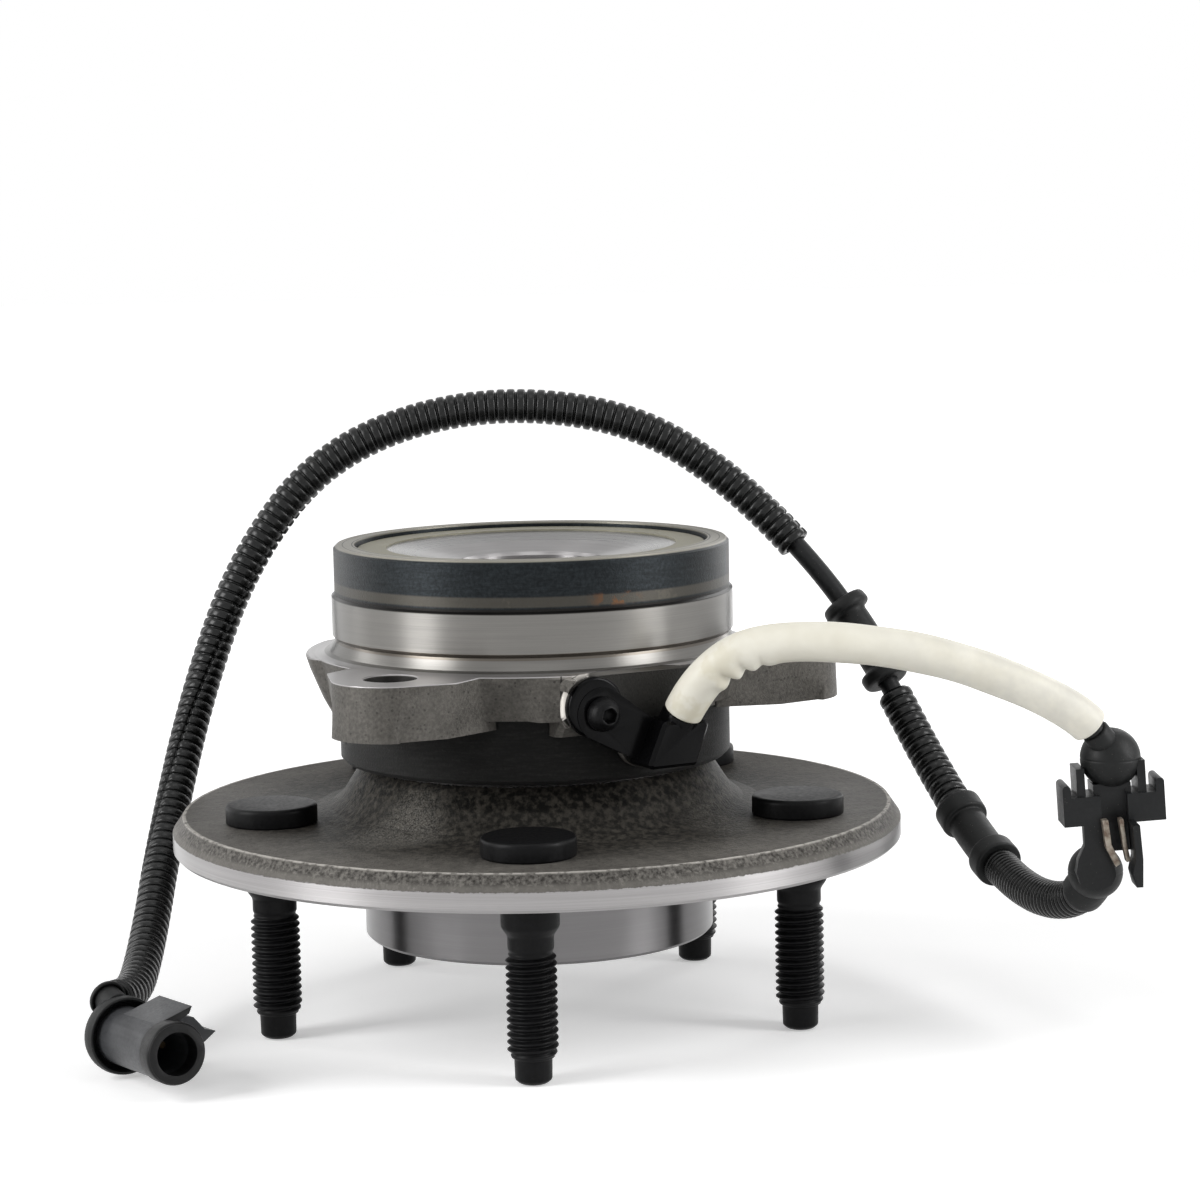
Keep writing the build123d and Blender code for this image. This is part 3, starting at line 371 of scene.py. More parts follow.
def softbox(name, turn, rise, distance, width, height, power):
    """A flat area lamp: its turn is measured from the camera's side towards +X, its rise from the floor."""
    turn, rise = math.radians(turn), math.radians(rise)
    away = Vector((math.sin(turn) * math.cos(rise), -math.cos(turn) * math.cos(rise), math.sin(rise)))
    lamp = bpy.data.lights.new(name, "AREA")
    lamp.shape, lamp.size, lamp.size_y, lamp.energy = "RECTANGLE", width, height, power
    holder = bpy.data.objects.new(name, lamp)
    holder.location = distance * away + Vector((0, 0, LAMPS_AIM_Z))
    holder.rotation_euler = away.to_track_quat("Z", "Y").to_euler()
    scene.collection.objects.link(holder)


# Name, turn and rise in degrees, distance, width and height in metres, power in watts
LAMPS = [("lamp_left", -66, 25, 1.1, 0.42, 0.85, 10.0), ("lamp_right", 70, 25, 1.1, 0.38, 0.85, 8.6),
         ("lamp_behind_left", -116, 24, 1.1, 0.2, 0.8, 1.6),
         ("lamp_behind_right", 146, 24, 1.1, 0.2, 0.8, 1.4), ("lamp_top", 0, 80, 1.2, 0.45, 0.45, 0.8)]
for lamp_row in LAMPS:
    softbox(*lamp_row)

# %% [markdown]
# ## Shared effects
# Several finishes need the same ingredients: the distance from the hub's axis, sandy grain, the fine
# rings that a lathe leaves, rubbed patches, dust. Each is a node group, built once and placed in each
# material with its own values. Groups put out masks and heights; the shader stays in the material.

# %% Node groups for the axis and for grain
def new_group(name, inputs, outputs):
    """An empty group with named inputs, each with a default, and named outputs."""
    tree = bpy.data.node_groups.new(name, "ShaderNodeTree")
    for socket_name, default in inputs.items():
        made = tree.interface.new_socket(socket_name, in_out="INPUT", socket_type="NodeSocketFloat")
        made.default_value = default
    for socket_name in outputs:
        tree.interface.new_socket(socket_name, in_out="OUTPUT", socket_type="NodeSocketFloat")
    return tree, tree.nodes.new("NodeGroupInput").outputs, tree.nodes.new("NodeGroupOutput").inputs


def noise(tree, place, scale, detail=4.0, roughness=0.55):
    """Cloudy value between 0 and 1."""
    made = link(tree, "ShaderNodeTexNoise", {"Vector": place, "Scale": scale, "Detail": detail,
                                            "Roughness": roughness})
    return made.outputs["Fac"]


def build_axis_group():
    """Radius is the length of the sideways part of a place; height is its upward part."""
    tree, _, out = new_group("about_the_axis", {}, ["Radius", "Height", "X", "Y"])
    x, y, z = link(tree, "ShaderNodeSeparateXYZ", {0: object_place(tree)}).outputs
    squares = math_node(tree, "ADD", math_node(tree, "MULTIPLY", x, x), math_node(tree, "MULTIPLY", y, y))
    for name, value in zip(["Radius", "Height", "X", "Y"], [math_node(tree, "SQRT", squares), z, x, y]):
        tree.links.new(value, out[name])
    return tree


def build_grain_group():
    """Sandy grain: a noise for shade, pulled apart by the contrast, and a finer one for relief."""
    tree, given, out = new_group("sandy_grain", {"Scale": 300.0, "Contrast": 0.25}, ["Shade", "Relief"])
    place = object_place(tree)
    low = math_node(tree, "SUBTRACT", 0.5, given["Contrast"])
    high = math_node(tree, "ADD", 0.5, given["Contrast"])
    tree.links.new(stepped(tree, noise(tree, place, given["Scale"], 3.0, 0.6), low, high), out["Shade"])
    finer = math_node(tree, "MULTIPLY", given["Scale"], 1.7)
    tree.links.new(noise(tree, place, finer, 3.0, 0.6), out["Relief"])
    return tree


axis_group, grain_group = build_axis_group(), build_grain_group()
print("first groups", [group.name for group in bpy.data.node_groups])

# %% Node groups for rings, patches and dust
def build_turning_group():
    """Fine rings about the hub axis: noise over radius and height only, a little uneven round the axis."""
    tree, given, out = new_group("turning_marks", {"Lines": 2500.0, "Drift": 0.6}, ["Lines"])
    about = link(tree, "ShaderNodeGroup", node_tree=axis_group).outputs
    across = math_node(tree, "DIVIDE", given["Drift"], about["Radius"])
    drift_x = math_node(tree, "MULTIPLY", about["X"], across)
    drift_y = math_node(tree, "MULTIPLY", about["Y"], across)
    place = link(tree, "ShaderNodeCombineXYZ", {
        0: math_node(tree, "MULTIPLY_ADD", about["Radius"], given["Lines"], drift_x),
        1: math_node(tree, "MULTIPLY_ADD", about["Height"], given["Lines"], drift_y), 2: drift_x})
    tree.links.new(noise(tree, place.outputs[0], 1.0, 3.0, 0.7), out["Lines"])
    return tree


def build_patches_group():
    """Worn or stained patches: slow noise above a level, with ragged edges from a faster noise."""
    tree, given, out = new_group("patches", {"Scale": 60.0, "Share": 0.4}, ["Mask"])
    place = object_place(tree)
    ragged = noise(tree, place, math_node(tree, "MULTIPLY", given["Scale"], 12.0), 3.0, 0.6)
    slow = noise(tree, place, given["Scale"], 4.0, 0.6)
    mottled = math_node(tree, "MULTIPLY_ADD", ragged, 0.35, slow)
    level = math_node(tree, "SUBTRACT", 0.95, math_node(tree, "MULTIPLY", given["Share"], 0.5))
    tree.links.new(stepped(tree, mottled, level, math_node(tree, "ADD", level, 0.08)), out["Mask"])
    return tree


def build_dust_group():
    """Scattered specks: a point is near its cell's centre and the cell is one of a chosen share."""
    tree, given, out = new_group("dust", {"Scale": 900.0, "Share": 0.25, "Size": 0.3}, ["Mask"])
    cells = link(tree, "ShaderNodeTexVoronoi", {"Vector": object_place(tree), "Scale": given["Scale"]})
    near = math_node(tree, "LESS_THAN", cells.outputs["Distance"], given["Size"])
    picked = link(tree, "ShaderNodeSeparateColor", {0: cells.outputs["Color"]}).outputs[0]
    chosen = math_node(tree, "LESS_THAN", picked, given["Share"])
    tree.links.new(math_node(tree, "MULTIPLY", near, chosen), out["Mask"])
    return tree


turning_group = build_turning_group()
patches_group = build_patches_group()
dust_group = build_dust_group()
print("groups", [group.name for group in bpy.data.node_groups])

# %% [markdown]
# ## Building a material
# A helper makes a material with its Principled shader and hands back the tree, so each finish below only
# says what is special about it. Colours are written as a screen shows them, from 0 to 255, and turned to
# the linear values that Blender works with. Heights are in metres, so a Bump node with a distance of one
# gives relief of a real size.

# %% Material helpers
def screen(red, green, blue):
    """A screen colour as a linear one: below a small step divide by 12.92, above it raise to 2.4."""
    shown = np.array([red, green, blue]) / 255.0
    linear = np.where(shown <= 0.04045, shown / 12.92, ((shown + 0.055) / 1.055) ** 2.4)
    return (*(float(value) for value in linear), 1.0)


def new_finish(name, **sockets):
    """A material, its tree and its shader, with plain values set on the shader's own sockets."""
    finish = bpy.data.materials.new(name)
    finish.use_nodes = True
    shader = finish.node_tree.nodes["Principled BSDF"]
    for socket, value in sockets.items():
        shader.inputs[socket.replace("_", " ")].default_value = value
    return finish, finish.node_tree, shader


def blend_colours(tree, share, first, second):
    """First colour where the share is 0, second where it is 1."""
    return link(tree, "ShaderNodeMix", {0: share, 6: first, 7: second}, data_type="RGBA").outputs[2]


def blend_values(tree, share, first, second):
    """First value where the share is 0, second where it is 1."""
    return link(tree, "ShaderNodeMix", {0: share, 2: first, 3: second}, data_type="FLOAT").outputs[0]


def use_group(tree, group, **values):
    """Place a shared effect with its own values, and hand back its outputs."""
    return link(tree, "ShaderNodeGroup", values, node_tree=group).outputs


def relief(tree, shader, height_m):
    """Bump from a height in metres."""
    bump = link(tree, "ShaderNodeBump", {"Height": height_m, "Distance": 1.0, "Strength": 1.0})
    tree.links.new(bump.outputs[0], shader.inputs["Normal"])


def feed(tree, shader, **outputs):
    """Link outputs to the shader's sockets of the same names."""
    for socket, value in outputs.items():
        tree.links.new(value, shader.inputs[socket.replace("_", " ")])


def between(tree, value, low, high, soft):
    """1 while a value is between low and high, with soft edges."""
    rise = stepped(tree, value, low - soft, low + soft)
    fall = stepped(tree, value, high - soft, high + soft, 1.0, 0.0)
    return math_node(tree, "MULTIPLY", rise, fall)


def both(tree, first, second):
    """Two masks, or a mask and its strength, multiplied: 1 only where both are 1."""
    return math_node(tree, "MULTIPLY", first, second)


def layered(tree, colour, layers):
    """Colours laid over one another in turn. Each layer is its mask, its strength and its colour."""
    for mask, strength, added in layers:
        colour = blend_colours(tree, both(tree, mask, strength), colour, added)
    return colour


def turned_direction(tree, shader):
    """Direction round the hub axis, (-y, x, 0), for gloss that a lathe's rings stretch across them."""
    x, y, _ = link(tree, "ShaderNodeSeparateXYZ", {0: object_place(tree)}).outputs
    around = link(tree, "ShaderNodeCombineXYZ", {0: math_node(tree, "MULTIPLY", y, -1.0), 1: x})
    turned_round = link(tree, "ShaderNodeVectorTransform", {0: around.outputs[0]}, vector_type="VECTOR",
                        convert_from="OBJECT", convert_to="WORLD")
    tree.links.new(turned_round.outputs[0], shader.inputs["Tangent"])


def paint(finish, *piece_list):
    """Give pieces or CAD nodes one finish in all their slots."""
    for piece in piece_list:
        piece = nodes[piece] if isinstance(piece, str) else piece
        if not piece.material_slots:
            piece.data.materials.append(finish)
        for slot in piece.material_slots:
            slot.material = finish


# %% [markdown]
# ## Forged and turned steel
# Hub and carrier are forgings with some faces turned bright. The forged skin is rough and oxidised: sandy
# shade, slow clouds and dark pits. A turned face has fine rings, and it stretches its gloss across them,
# which is what gives a turned cylinder its upright bands. Both are functions here, so that the hub and
# the carrier can use them with their own shades and grain.

# %% Forged skin and turned faces
FORGED_DARK, FORGED_LIGHT = screen(62, 60, 57), screen(106, 103, 98)
# Black of the forging's pits and dark joint lines, also used for painted shade in holes and for the painted
# shadow line
PITS_AND_SHADE_BLACK = screen(30, 29, 28)


def forged_skin(tree, scale, contrast):
    """Colour, relief and sandy shade of the rough oxidised skin."""
    sand = use_group(tree, grain_group, Scale=scale, Contrast=contrast)
    slow = use_group(tree, grain_group, Scale=150.0, Contrast=0.35)["Shade"]
    shade = math_node(tree, "MULTIPLY_ADD", slow, 0.35, both(tree, sand["Shade"], 0.65))
    pits = use_group(tree, dust_group, Scale=1100.0, Share=0.16, Size=0.34)["Mask"]
    colour = blend_colours(tree, shade, FORGED_DARK, FORGED_LIGHT)
    colour = blend_colours(tree, both(tree, pits, 0.45), colour, PITS_AND_SHADE_BLACK)
    return colour, both(tree, sand["Relief"], 0.2 / scale), sand["Shade"]


def turned_steel(tree, dark, light):
    """Colour, roughness and relief of a turned face: fine rings over slow changes of shade."""
    lines = use_group(tree, turning_group, Lines=5200.0, Drift=0.8)["Lines"]
    slow = use_group(tree, turning_group, Lines=620.0, Drift=0.8)["Lines"]
    shade = math_node(tree, "MULTIPLY_ADD", lines, 0.6, both(tree, slow, 0.4))
    colour = blend_colours(tree, stepped(tree, shade, 0.2, 0.8), dark, light)
    return colour, blend_values(tree, lines, 0.26, 0.38), both(tree, lines, 0.0000009)


def near_spot(tree, about, x, y, reach, full=0.4):
    """1 near an upright line through a place, and 0 from the reach onwards.

    It fades from the full share of the reach to the reach."""
    across = math_node(tree, "SUBTRACT", about["X"], x)
    deep = math_node(tree, "SUBTRACT", about["Y"], y)
    squares = math_node(tree, "ADD", both(tree, across, across), both(tree, deep, deep))
    return stepped(tree, math_node(tree, "SQRT", squares), full * reach, reach, 1.0, 0.0)


# %% [markdown]
# ## Hub finish
# On the real hub the rough skin meets a machined face at a sharp, slightly ragged line. One material
# serves the whole hub: it reads radius and height to tell which zone a point is in, and noise moves the
# line between two zones a little. A separate material for each face would need the mesh cut along those
# lines, and the frame's mesh is never changed.

# %% Hub finish
# Pale of worn edges, also used for painted highlights on the carrier
WEAR_AND_HIGHLIGHT_PALE, PALE_SPECKLE = screen(186, 182, 176), screen(138, 135, 129)
# Painted shade under the carrier, dark and mottled
PAINTED_SHADE_DARK, PAINTED_SHADE_LIGHT = screen(9, 9, 8), screen(58, 55, 50)
SLOPE_DARK, SLOPE_LIGHT = screen(50, 48, 46), screen(124, 121, 116)
RIM_DARK, RIM_LIGHT = screen(140, 138, 138), screen(164, 162, 162)
# The spigot's grey, and the grey of painted shade inside the bore
SPIGOT_GREY, BORE_SHADE_GREY = screen(98, 97, 98), screen(40, 40, 40)
# Heights and radii in metres between which one zone of the hub gives way to the next
FORGED_HEIGHTS, FORGED_FROM_R, FORGED_EDGE_WANDER = (0.0049, 0.0203), (0.0305, 0.0315), 0.0007
# Painted shade: radii within which, and heights above which, the hub is darkened under the carrier
PAINTED_SHADE_WITHIN_R, PAINTED_SHADE_ABOVE = (0.085, 0.060), (0.0098, 0.0160)
SLOPE_FROM_R, SLOPE_WORN_R, SLOPE_PALE_FROM_R = (0.0880, 0.0884), (0.0873, 0.0881), (0.0890, 0.0901)
SPIGOT_BELOW, SPIGOT_WITHIN_R, BORE_SHADE_WITHIN_R = (0.0002, -0.0003), (0.0441, 0.0437), (0.0171, 0.0167)
# X, Y and reach of each pale speckled patch on the boss, and how strong its speckles are
SPECKLED_PLACES = [((-0.034, -0.044, 0.015), 1.0), ((0.047, -0.036, 0.016), 0.7)]


def forged_colour(tree, about):
    """The hub's rough skin: painted shade towards the boss and up it, where the carrier shades it, and paler
    and blotchy on the rim's slope.
    """
    height, radius = about["Height"], about["Radius"]
    skin_colour, skin_relief, sand = forged_skin(tree, 620.0, 0.42)
    # Painted shade under the carrier: darker towards the boss, and darker up the boss
    painted_shade_mask = math_node(tree, "MAXIMUM", both(tree, stepped(tree, radius, *PAINTED_SHADE_WITHIN_R), 0.82),
                       both(tree, stepped(tree, height, *PAINTED_SHADE_ABOVE), 0.95))
    painted_shade_colour = blend_colours(tree, stepped(tree, sand, 0.3, 0.8), PAINTED_SHADE_DARK, PAINTED_SHADE_LIGHT)
    blotches = math_node(tree, "MAXIMUM", use_group(tree, grain_group, Scale=1000.0, Contrast=0.24)["Shade"],
                         both(tree, stepped(tree, radius, *SLOPE_PALE_FROM_R), 0.75))
    slope_shade = blend_values(tree, sand, both(tree, blotches, 0.6), blotches)
    slope_colour = blend_colours(tree, slope_shade, SLOPE_DARK, SLOPE_LIGHT)
    worn = both(tree, between(tree, radius, *SLOPE_WORN_R, 0.0002), stepped(tree, sand, 0.1, 0.6))
    # Pale speckles in two patches on the boss
    patch_mask = math_node(tree, "MAXIMUM", *(both(tree, near_spot(tree, about, *place), strength)
                                          for place, strength in SPECKLED_PLACES))
    speckled = stepped(tree, use_group(tree, grain_group, Scale=1500.0, Contrast=0.25)["Relief"], 0.35, 0.7)
    skin_colour = layered(tree, skin_colour, [
        (painted_shade_mask, 1.0, painted_shade_colour), (stepped(tree, radius, *SLOPE_FROM_R), 1.0, slope_colour),
        (worn, 0.9, WEAR_AND_HIGHLIGHT_PALE), (both(tree, patch_mask, speckled), 0.5, PALE_SPECKLE)])
    return skin_colour, skin_relief


def hub_finish():
    """Forged between the turned rim and the top of the boss, bright everywhere else, with painted shade
    inside the bore.
    """
    finish, tree, shader = new_finish("hub_steel", Anisotropic=0.8, Anisotropic_Rotation=0.25,
                                      Specular_IOR_Level=0.05)
    about = use_group(tree, axis_group)
    height, radius = about["Height"], about["Radius"]
    ragged = use_group(tree, grain_group, Scale=900.0, Contrast=0.3)["Relief"]
    lowered = math_node(tree, "SUBTRACT", height, FORGED_EDGE_WANDER / 2)
    ragged_height = math_node(tree, "MULTIPLY_ADD", ragged, FORGED_EDGE_WANDER, lowered)
    forged = both(tree, between(tree, ragged_height, *FORGED_HEIGHTS, 0.00008),
                  stepped(tree, radius, *FORGED_FROM_R))
    skin_colour, skin_relief = forged_colour(tree, about)
    steel_colour, steel_rough, steel_relief = turned_steel(tree, RIM_DARK, RIM_LIGHT)
    spigot = both(tree, stepped(tree, height, *SPIGOT_BELOW), stepped(tree, radius, *SPIGOT_WITHIN_R))
    # The spigot is a darker grey; the bore is darkened as painted shade
    steel_colour = layered(tree, steel_colour, [
        (spigot, 0.75, SPIGOT_GREY), (stepped(tree, radius, *BORE_SHADE_WITHIN_R), 0.8, BORE_SHADE_GREY)])
    feed(tree, shader, Base_Color=blend_colours(tree, forged, steel_colour, skin_colour),
         Metallic=blend_values(tree, forged, 1.0, 0.15),
         Roughness=blend_values(tree, forged, steel_rough, 0.5))
    relief(tree, shader, blend_values(tree, forged, steel_relief, skin_relief))
    turned_direction(tree, shader)
    return finish


hub_steel = hub_finish()
paint(hub_steel, "wheel_hub")
print("painted", hub_steel.name)

# %% [markdown]
# ## Carrier finish
# The carrier is one forging too, but it has more zones up its height: a blued band at the top, a tan
# strip that the seal's press left, a painted shadow line at the step over the pilot, the bright pilot
# that centres it in the knuckle, a groove, a turned face, and below that forged ears and a dark lower
# cylinder. The turned face on the ears is bare steel lightened further as a painted highlight, the ears'
# bolt holes are darkened as painted shade, and the lower cylinder's dark coating is darkened further as
# painted shade under the plate. The sensor sits on a milled seat, which is dark apart from a bright
# crescent beside the sensor's shoulder: bare milled metal, kept to one side as a painted highlight. The
# face's edge near the sensor is bare steel with a painted highlight along it. Each zone is a range of
# height, of radius or of distance from a place, and the layers are laid on one after another.

# %% Carrier's bands and its sensor seat
PILOT_DARK, PILOT_LIGHT = screen(106, 105, 102), screen(122, 120, 117)
BLUED_DARK, BLUED_LIGHT = screen(22, 25, 27), screen(44, 49, 52)
TAN, BROWN, RUST = screen(76, 73, 67), screen(84, 75, 64), screen(104, 70, 44)
BARE_TOP = screen(134, 131, 122)
# The lower cylinder's dark coating, darkened further as painted shade under the plate
LOWER_DARK, LOWER_LIGHT = screen(17, 17, 16), screen(42, 41, 40)
# Lowest and highest level of each band and the softness of its edges, in metres
BANDS = {"lip": (0.0475, 0.0484, 0.0001), "face": (0.04795, 0.0486, 0.00005),
         "turned": (0.04805, 0.06287, 0.00005), "groove": (0.0513, 0.0529, 0.00006),
         "shadow_line": (0.0622, 0.0634, 0.0002), "tan": (0.0638, 0.0662, 0.0003),
         "rusty": (0.0638, 0.0664, 0.0006)}
BLUED_FROM, BARE_FROM = (0.06284, 0.06290), (0.0743, 0.0746)
LOWER_BELOW, LOWER_WITHIN_R = (0.0374, 0.0370), (0.0493, 0.0489)
TOP_LINES_R = [(0.0466, 0.0468, 0.00008), (0.0442, 0.0445, 0.0001)]
RUST_X, LIP_PLACE = (0.015, 0.024, 0.003), (0.022, -0.049, 0.022)
EAR_TURNS, EAR_HOLE_FROM_AXIS, EAR_HOLE_R = (-3.4, 116.6, 236.6), 0.061, 0.0064
SENSOR_OUT, SENSOR_ALONG = (0.4478, -0.8942), (0.8942, 0.4478)
SEAT_MIDDLE, SEAT_HEIGHT, SEAT_FROM_AXIS = -0.0110, 0.0405, 0.0512
CRESCENT_FROM, CRESCENT_TO, SEAT_BAND = 0.0066, 0.0082, 0.00006


def pocket_masks(tree, about):
    """The milled seat, and the crescent on it: distances to its middle between two limits, on one side, where
    bare milled metal takes a painted highlight.
    """
    def towards(direction):
        return math_node(tree, "MULTIPLY_ADD", about["X"], direction[0], both(tree, about["Y"], direction[1]))
    outwards = towards(SENSOR_OUT)
    sideways = math_node(tree, "SUBTRACT", towards(SENSOR_ALONG), SEAT_MIDDLE)
    upwards = math_node(tree, "SUBTRACT", about["Height"], SEAT_HEIGHT)
    squares = math_node(tree, "ADD", both(tree, sideways, sideways), both(tree, upwards, upwards))
    reach = math_node(tree, "SQRT", squares)
    seat = between(tree, outwards, SEAT_FROM_AXIS - SEAT_BAND, SEAT_FROM_AXIS + SEAT_BAND, SEAT_BAND / 3)
    ring = between(tree, reach, CRESCENT_FROM, CRESCENT_TO, 0.0002)
    # Kept to one side: there the bare crescent is a painted highlight
    crescent = both(tree, ring, stepped(tree, sideways, 0.0, -0.0012))
    return both(tree, seat, crescent), seat


def ear_hole_layers(tree, about):
    """Painted shade in the ears' bolt holes: near an ear's hole, and lower than the edge of that hole."""
    sunk = stepped(tree, about["Height"], 0.0481, 0.0479)
    layers = []
    for turn in np.radians(EAR_TURNS):
        x, y = EAR_HOLE_FROM_AXIS * math.cos(turn), EAR_HOLE_FROM_AXIS * math.sin(turn)
        hole = near_spot(tree, about, x, y, EAR_HOLE_R, 0.97)
        layers.append((both(tree, hole, sunk), 0.85, PITS_AND_SHADE_BLACK))
    return layers


# %% Carrier's layers
def carrier_finish():
    """Zones up the height, laid one over another from the forged skin to the blued band."""
    finish, tree, shader = new_finish("carrier_steel", Anisotropic=0.8, Anisotropic_Rotation=0.25,
                                      Specular_IOR_Level=0.25)
    about = use_group(tree, axis_group)
    height, radius = about["Height"], about["Radius"]
    skin_colour, skin_relief, sand = forged_skin(tree, 1300.0, 0.34)
    steel_colour, steel_rough, steel_relief = turned_steel(tree, PILOT_DARK, PILOT_LIGHT)
    scratches = use_group(tree, turning_group, Lines=1300.0, Drift=6.0)["Lines"]
    worn = use_group(tree, patches_group, Scale=70.0, Share=0.4)["Mask"]
    stained = use_group(tree, patches_group, Scale=300.0, Share=0.6)["Mask"]

    band = {name: between(tree, height, *limits) for name, limits in BANDS.items()}
    # Below the plate: dark coating, darkened further as painted shade
    lower = both(tree, stepped(tree, radius, *LOWER_WITHIN_R), stepped(tree, height, *LOWER_BELOW))
    lower_shade = both(tree, sand, stepped(tree, scratches, 0.35, 0.8))
    blued = stepped(tree, height, *BLUED_FROM)
    blued_shade = both(tree, sand, stepped(tree, scratches, 0.1, 0.7))
    # Near the sensor the face's edge is bare steel with a painted highlight along it
    lip = both(tree, band["lip"], near_spot(tree, about, *LIP_PLACE))
    tan = both(tree, band["tan"], blend_values(tree, worn, 0.75, 1.0))
    rusty = both(tree, both(tree, between(tree, about["X"], *RUST_X), band["rusty"]), stained)
    top_lines = math_node(tree, "MAXIMUM", *(between(tree, radius, *limits) for limits in TOP_LINES_R))
    crescent, seat = pocket_masks(tree, about)

    colour = layered(tree, skin_colour, [
        (lower, 1.0, blend_colours(tree, lower_shade, LOWER_DARK, LOWER_LIGHT)),
        # The ears' turned face: bare turned steel, lightened further as a painted highlight
        (band["turned"], 1.0, steel_colour), (band["face"], 1.0, RIM_LIGHT), *ear_hole_layers(tree, about),
        (lip, 1.0, WEAR_AND_HIGHLIGHT_PALE), (band["groove"], 0.55, BROWN),
        (blued, 1.0, blend_colours(tree, blued_shade, BLUED_DARK, BLUED_LIGHT)), (tan, 1.0, TAN),
        (band["shadow_line"], 1.0, PITS_AND_SHADE_BLACK), (rusty, 0.75, RUST),
        (stepped(tree, height, *BARE_FROM), 1.0, blend_colours(tree, top_lines, BARE_TOP, PITS_AND_SHADE_BLACK)),
        (seat, 0.85, LOWER_DARK), (crescent, 1.0, WEAR_AND_HIGHLIGHT_PALE)])
    smooth = math_node(tree, "MAXIMUM", math_node(tree, "MAXIMUM", crescent, lip), math_node(
        tree, "MAXIMUM", band["turned"], both(tree, blued, 0.55)))
    feed(tree, shader, Base_Color=colour, Metallic=blend_values(tree, smooth, 0.35, 1.0),
         Roughness=blend_values(tree, smooth, 0.6, steel_rough))
    relief(tree, shader, blend_values(tree, smooth, skin_relief, steel_relief))
    turned_direction(tree, shader)
    return finish


carrier_steel = carrier_finish()
paint(carrier_steel, "carrier")
print("painted", carrier_steel.name)

# %% [markdown]
# ## Plainer finishes
# The other parts need one finish each. Ground steel has fine rings. Black screws and studs, rubber,
# moulded plastic and a matt coating are grained. The grained ones differ only in colour, gloss and the
# size of their grain, so one function makes them all from a table of those numbers.

# %% Plainer finishes
DUST_GREY = screen(150, 145, 135)


def grained(name, dark, light, scale, rough, relief_mm, metal, level, dust):
    """A mottled surface: two shades, a range of roughness, fine relief and a share of pale dust."""
    finish, tree, shader = new_finish(name, Metallic=metal, Specular_IOR_Level=level)
    skin = use_group(tree, grain_group, Scale=scale, Contrast=0.35)
    patch_mask = use_group(tree, patches_group, Scale=120.0, Share=0.35)["Mask"]
    colour = blend_colours(tree, skin["Shade"], screen(*dark), screen(*light))
    if dust:
        specks = use_group(tree, dust_group, Scale=2300.0, Share=dust, Size=0.2)["Mask"]
        colour = layered(tree, colour, [(specks, 0.2, DUST_GREY)])
    matt = both(tree, skin["Shade"], blend_values(tree, patch_mask, 1.0, 0.4))
    feed(tree, shader, Base_Color=colour, Roughness=blend_values(tree, matt, *rough))
    relief(tree, shader, both(tree, skin["Relief"], relief_mm * MM))
    return finish


def ringed(name, dark, light, rough, relief_mm):
    """Steel with fine turned rings about the hub axis."""
    finish, tree, shader = new_finish(name, Metallic=1.0, Anisotropic=0.7, Anisotropic_Rotation=0.25)
    lines = use_group(tree, turning_group, Lines=4000.0, Drift=0.8)["Lines"]
    colour = blend_colours(tree, stepped(tree, lines, 0.35, 0.65), screen(*dark), screen(*light))
    feed(tree, shader, Base_Color=colour, Roughness=blend_values(tree, lines, *rough))
    relief(tree, shader, both(tree, lines, relief_mm * MM))
    turned_direction(tree, shader)
    return finish


# Name: dark and light shade, grain scale, roughness, relief in mm, metal, specular level, share of dust
GRAINED = {
    "black_steel": ((9, 9, 10), (19, 19, 20), 900.0, (0.34, 0.5), 0.03, 0.1, 0.12, 0.0),
    "rusty_steel": ((74, 50, 36), (172, 166, 154), 620.0, (0.3, 0.6), 0.05, 0.7, 0.3, 0.0),
    "beige_coat": ((112, 109, 96), (136, 133, 118), 700.0, (0.42, 0.58), 0.03, 0.3, 0.3, 0.0),
    "black_rubber": ((14, 15, 15), (23, 24, 24), 700.0, (0.42, 0.58), 0.04, 0.0, 0.22, 0.08),
    "black_plastic": ((16, 17, 18), (25, 26, 27), 1200.0, (0.3, 0.46), 0.02, 0.0, 0.22, 0.04),
    "glossy_plastic": ((7, 7, 8), (11, 11, 12), 1200.0, (0.15, 0.26), 0.01, 0.0, 0.08, 0.0),
    "conduit_plastic": ((9, 10, 10), (17, 18, 18), 900.0, (0.2, 0.34), 0.015, 0.0, 0.3, 0.05),
    "cable_sheath": ((14, 15, 16), (24, 25, 26), 700.0, (0.36, 0.5), 0.02, 0.0, 0.22, 0.05),
    "magnet_grey": ((84, 84, 88), (104, 104, 106), 600.0, (0.4, 0.5), 0.03, 0.5, 0.3, 0.0),
    # Brass pins darkened as painted shade inside the connector's socket
    "shade_darkened_brass": ((40, 34, 25), (60, 50, 36), 600.0, (0.34, 0.5), 0.01, 1.0, 0.3, 0.0),
}
finishes = {name: grained(name, *values) for name, values in GRAINED.items()}
finishes["bearing_steel"] = ringed("bearing_steel", (128, 127, 128), (160, 159, 158), (0.22, 0.34), 0.0012)

NODES_WITH = {
    "bearing_steel": ["outboard_cone", "inboard_cone", "outboard_rollers", "inboard_rollers", "tone_ring",
                      "outboard_cage", "inboard_cage", "sensor_pole"],
    "beige_coat": ["inboard_shield", "outboard_seal_case"],
    "black_rubber": ["inboard_seal_lip", "outboard_seal_lip", "sensor_o_ring", "connector_boot",
                     "clip_upper_boot", "clip_lower_boot"],
    "rusty_steel": ["sensor_limiter"],
    "magnet_grey": ["sensor_magnet"],
    "shade_darkened_brass": ["connector_pins"],
    "cable_sheath": [lead_wire, main_wire],
}
for finish_name, painted in NODES_WITH.items():
    paint(finishes[finish_name], *painted)


DIRT_X, SMEAR_X = (0.05, 0.135), (0.056, 0.038)


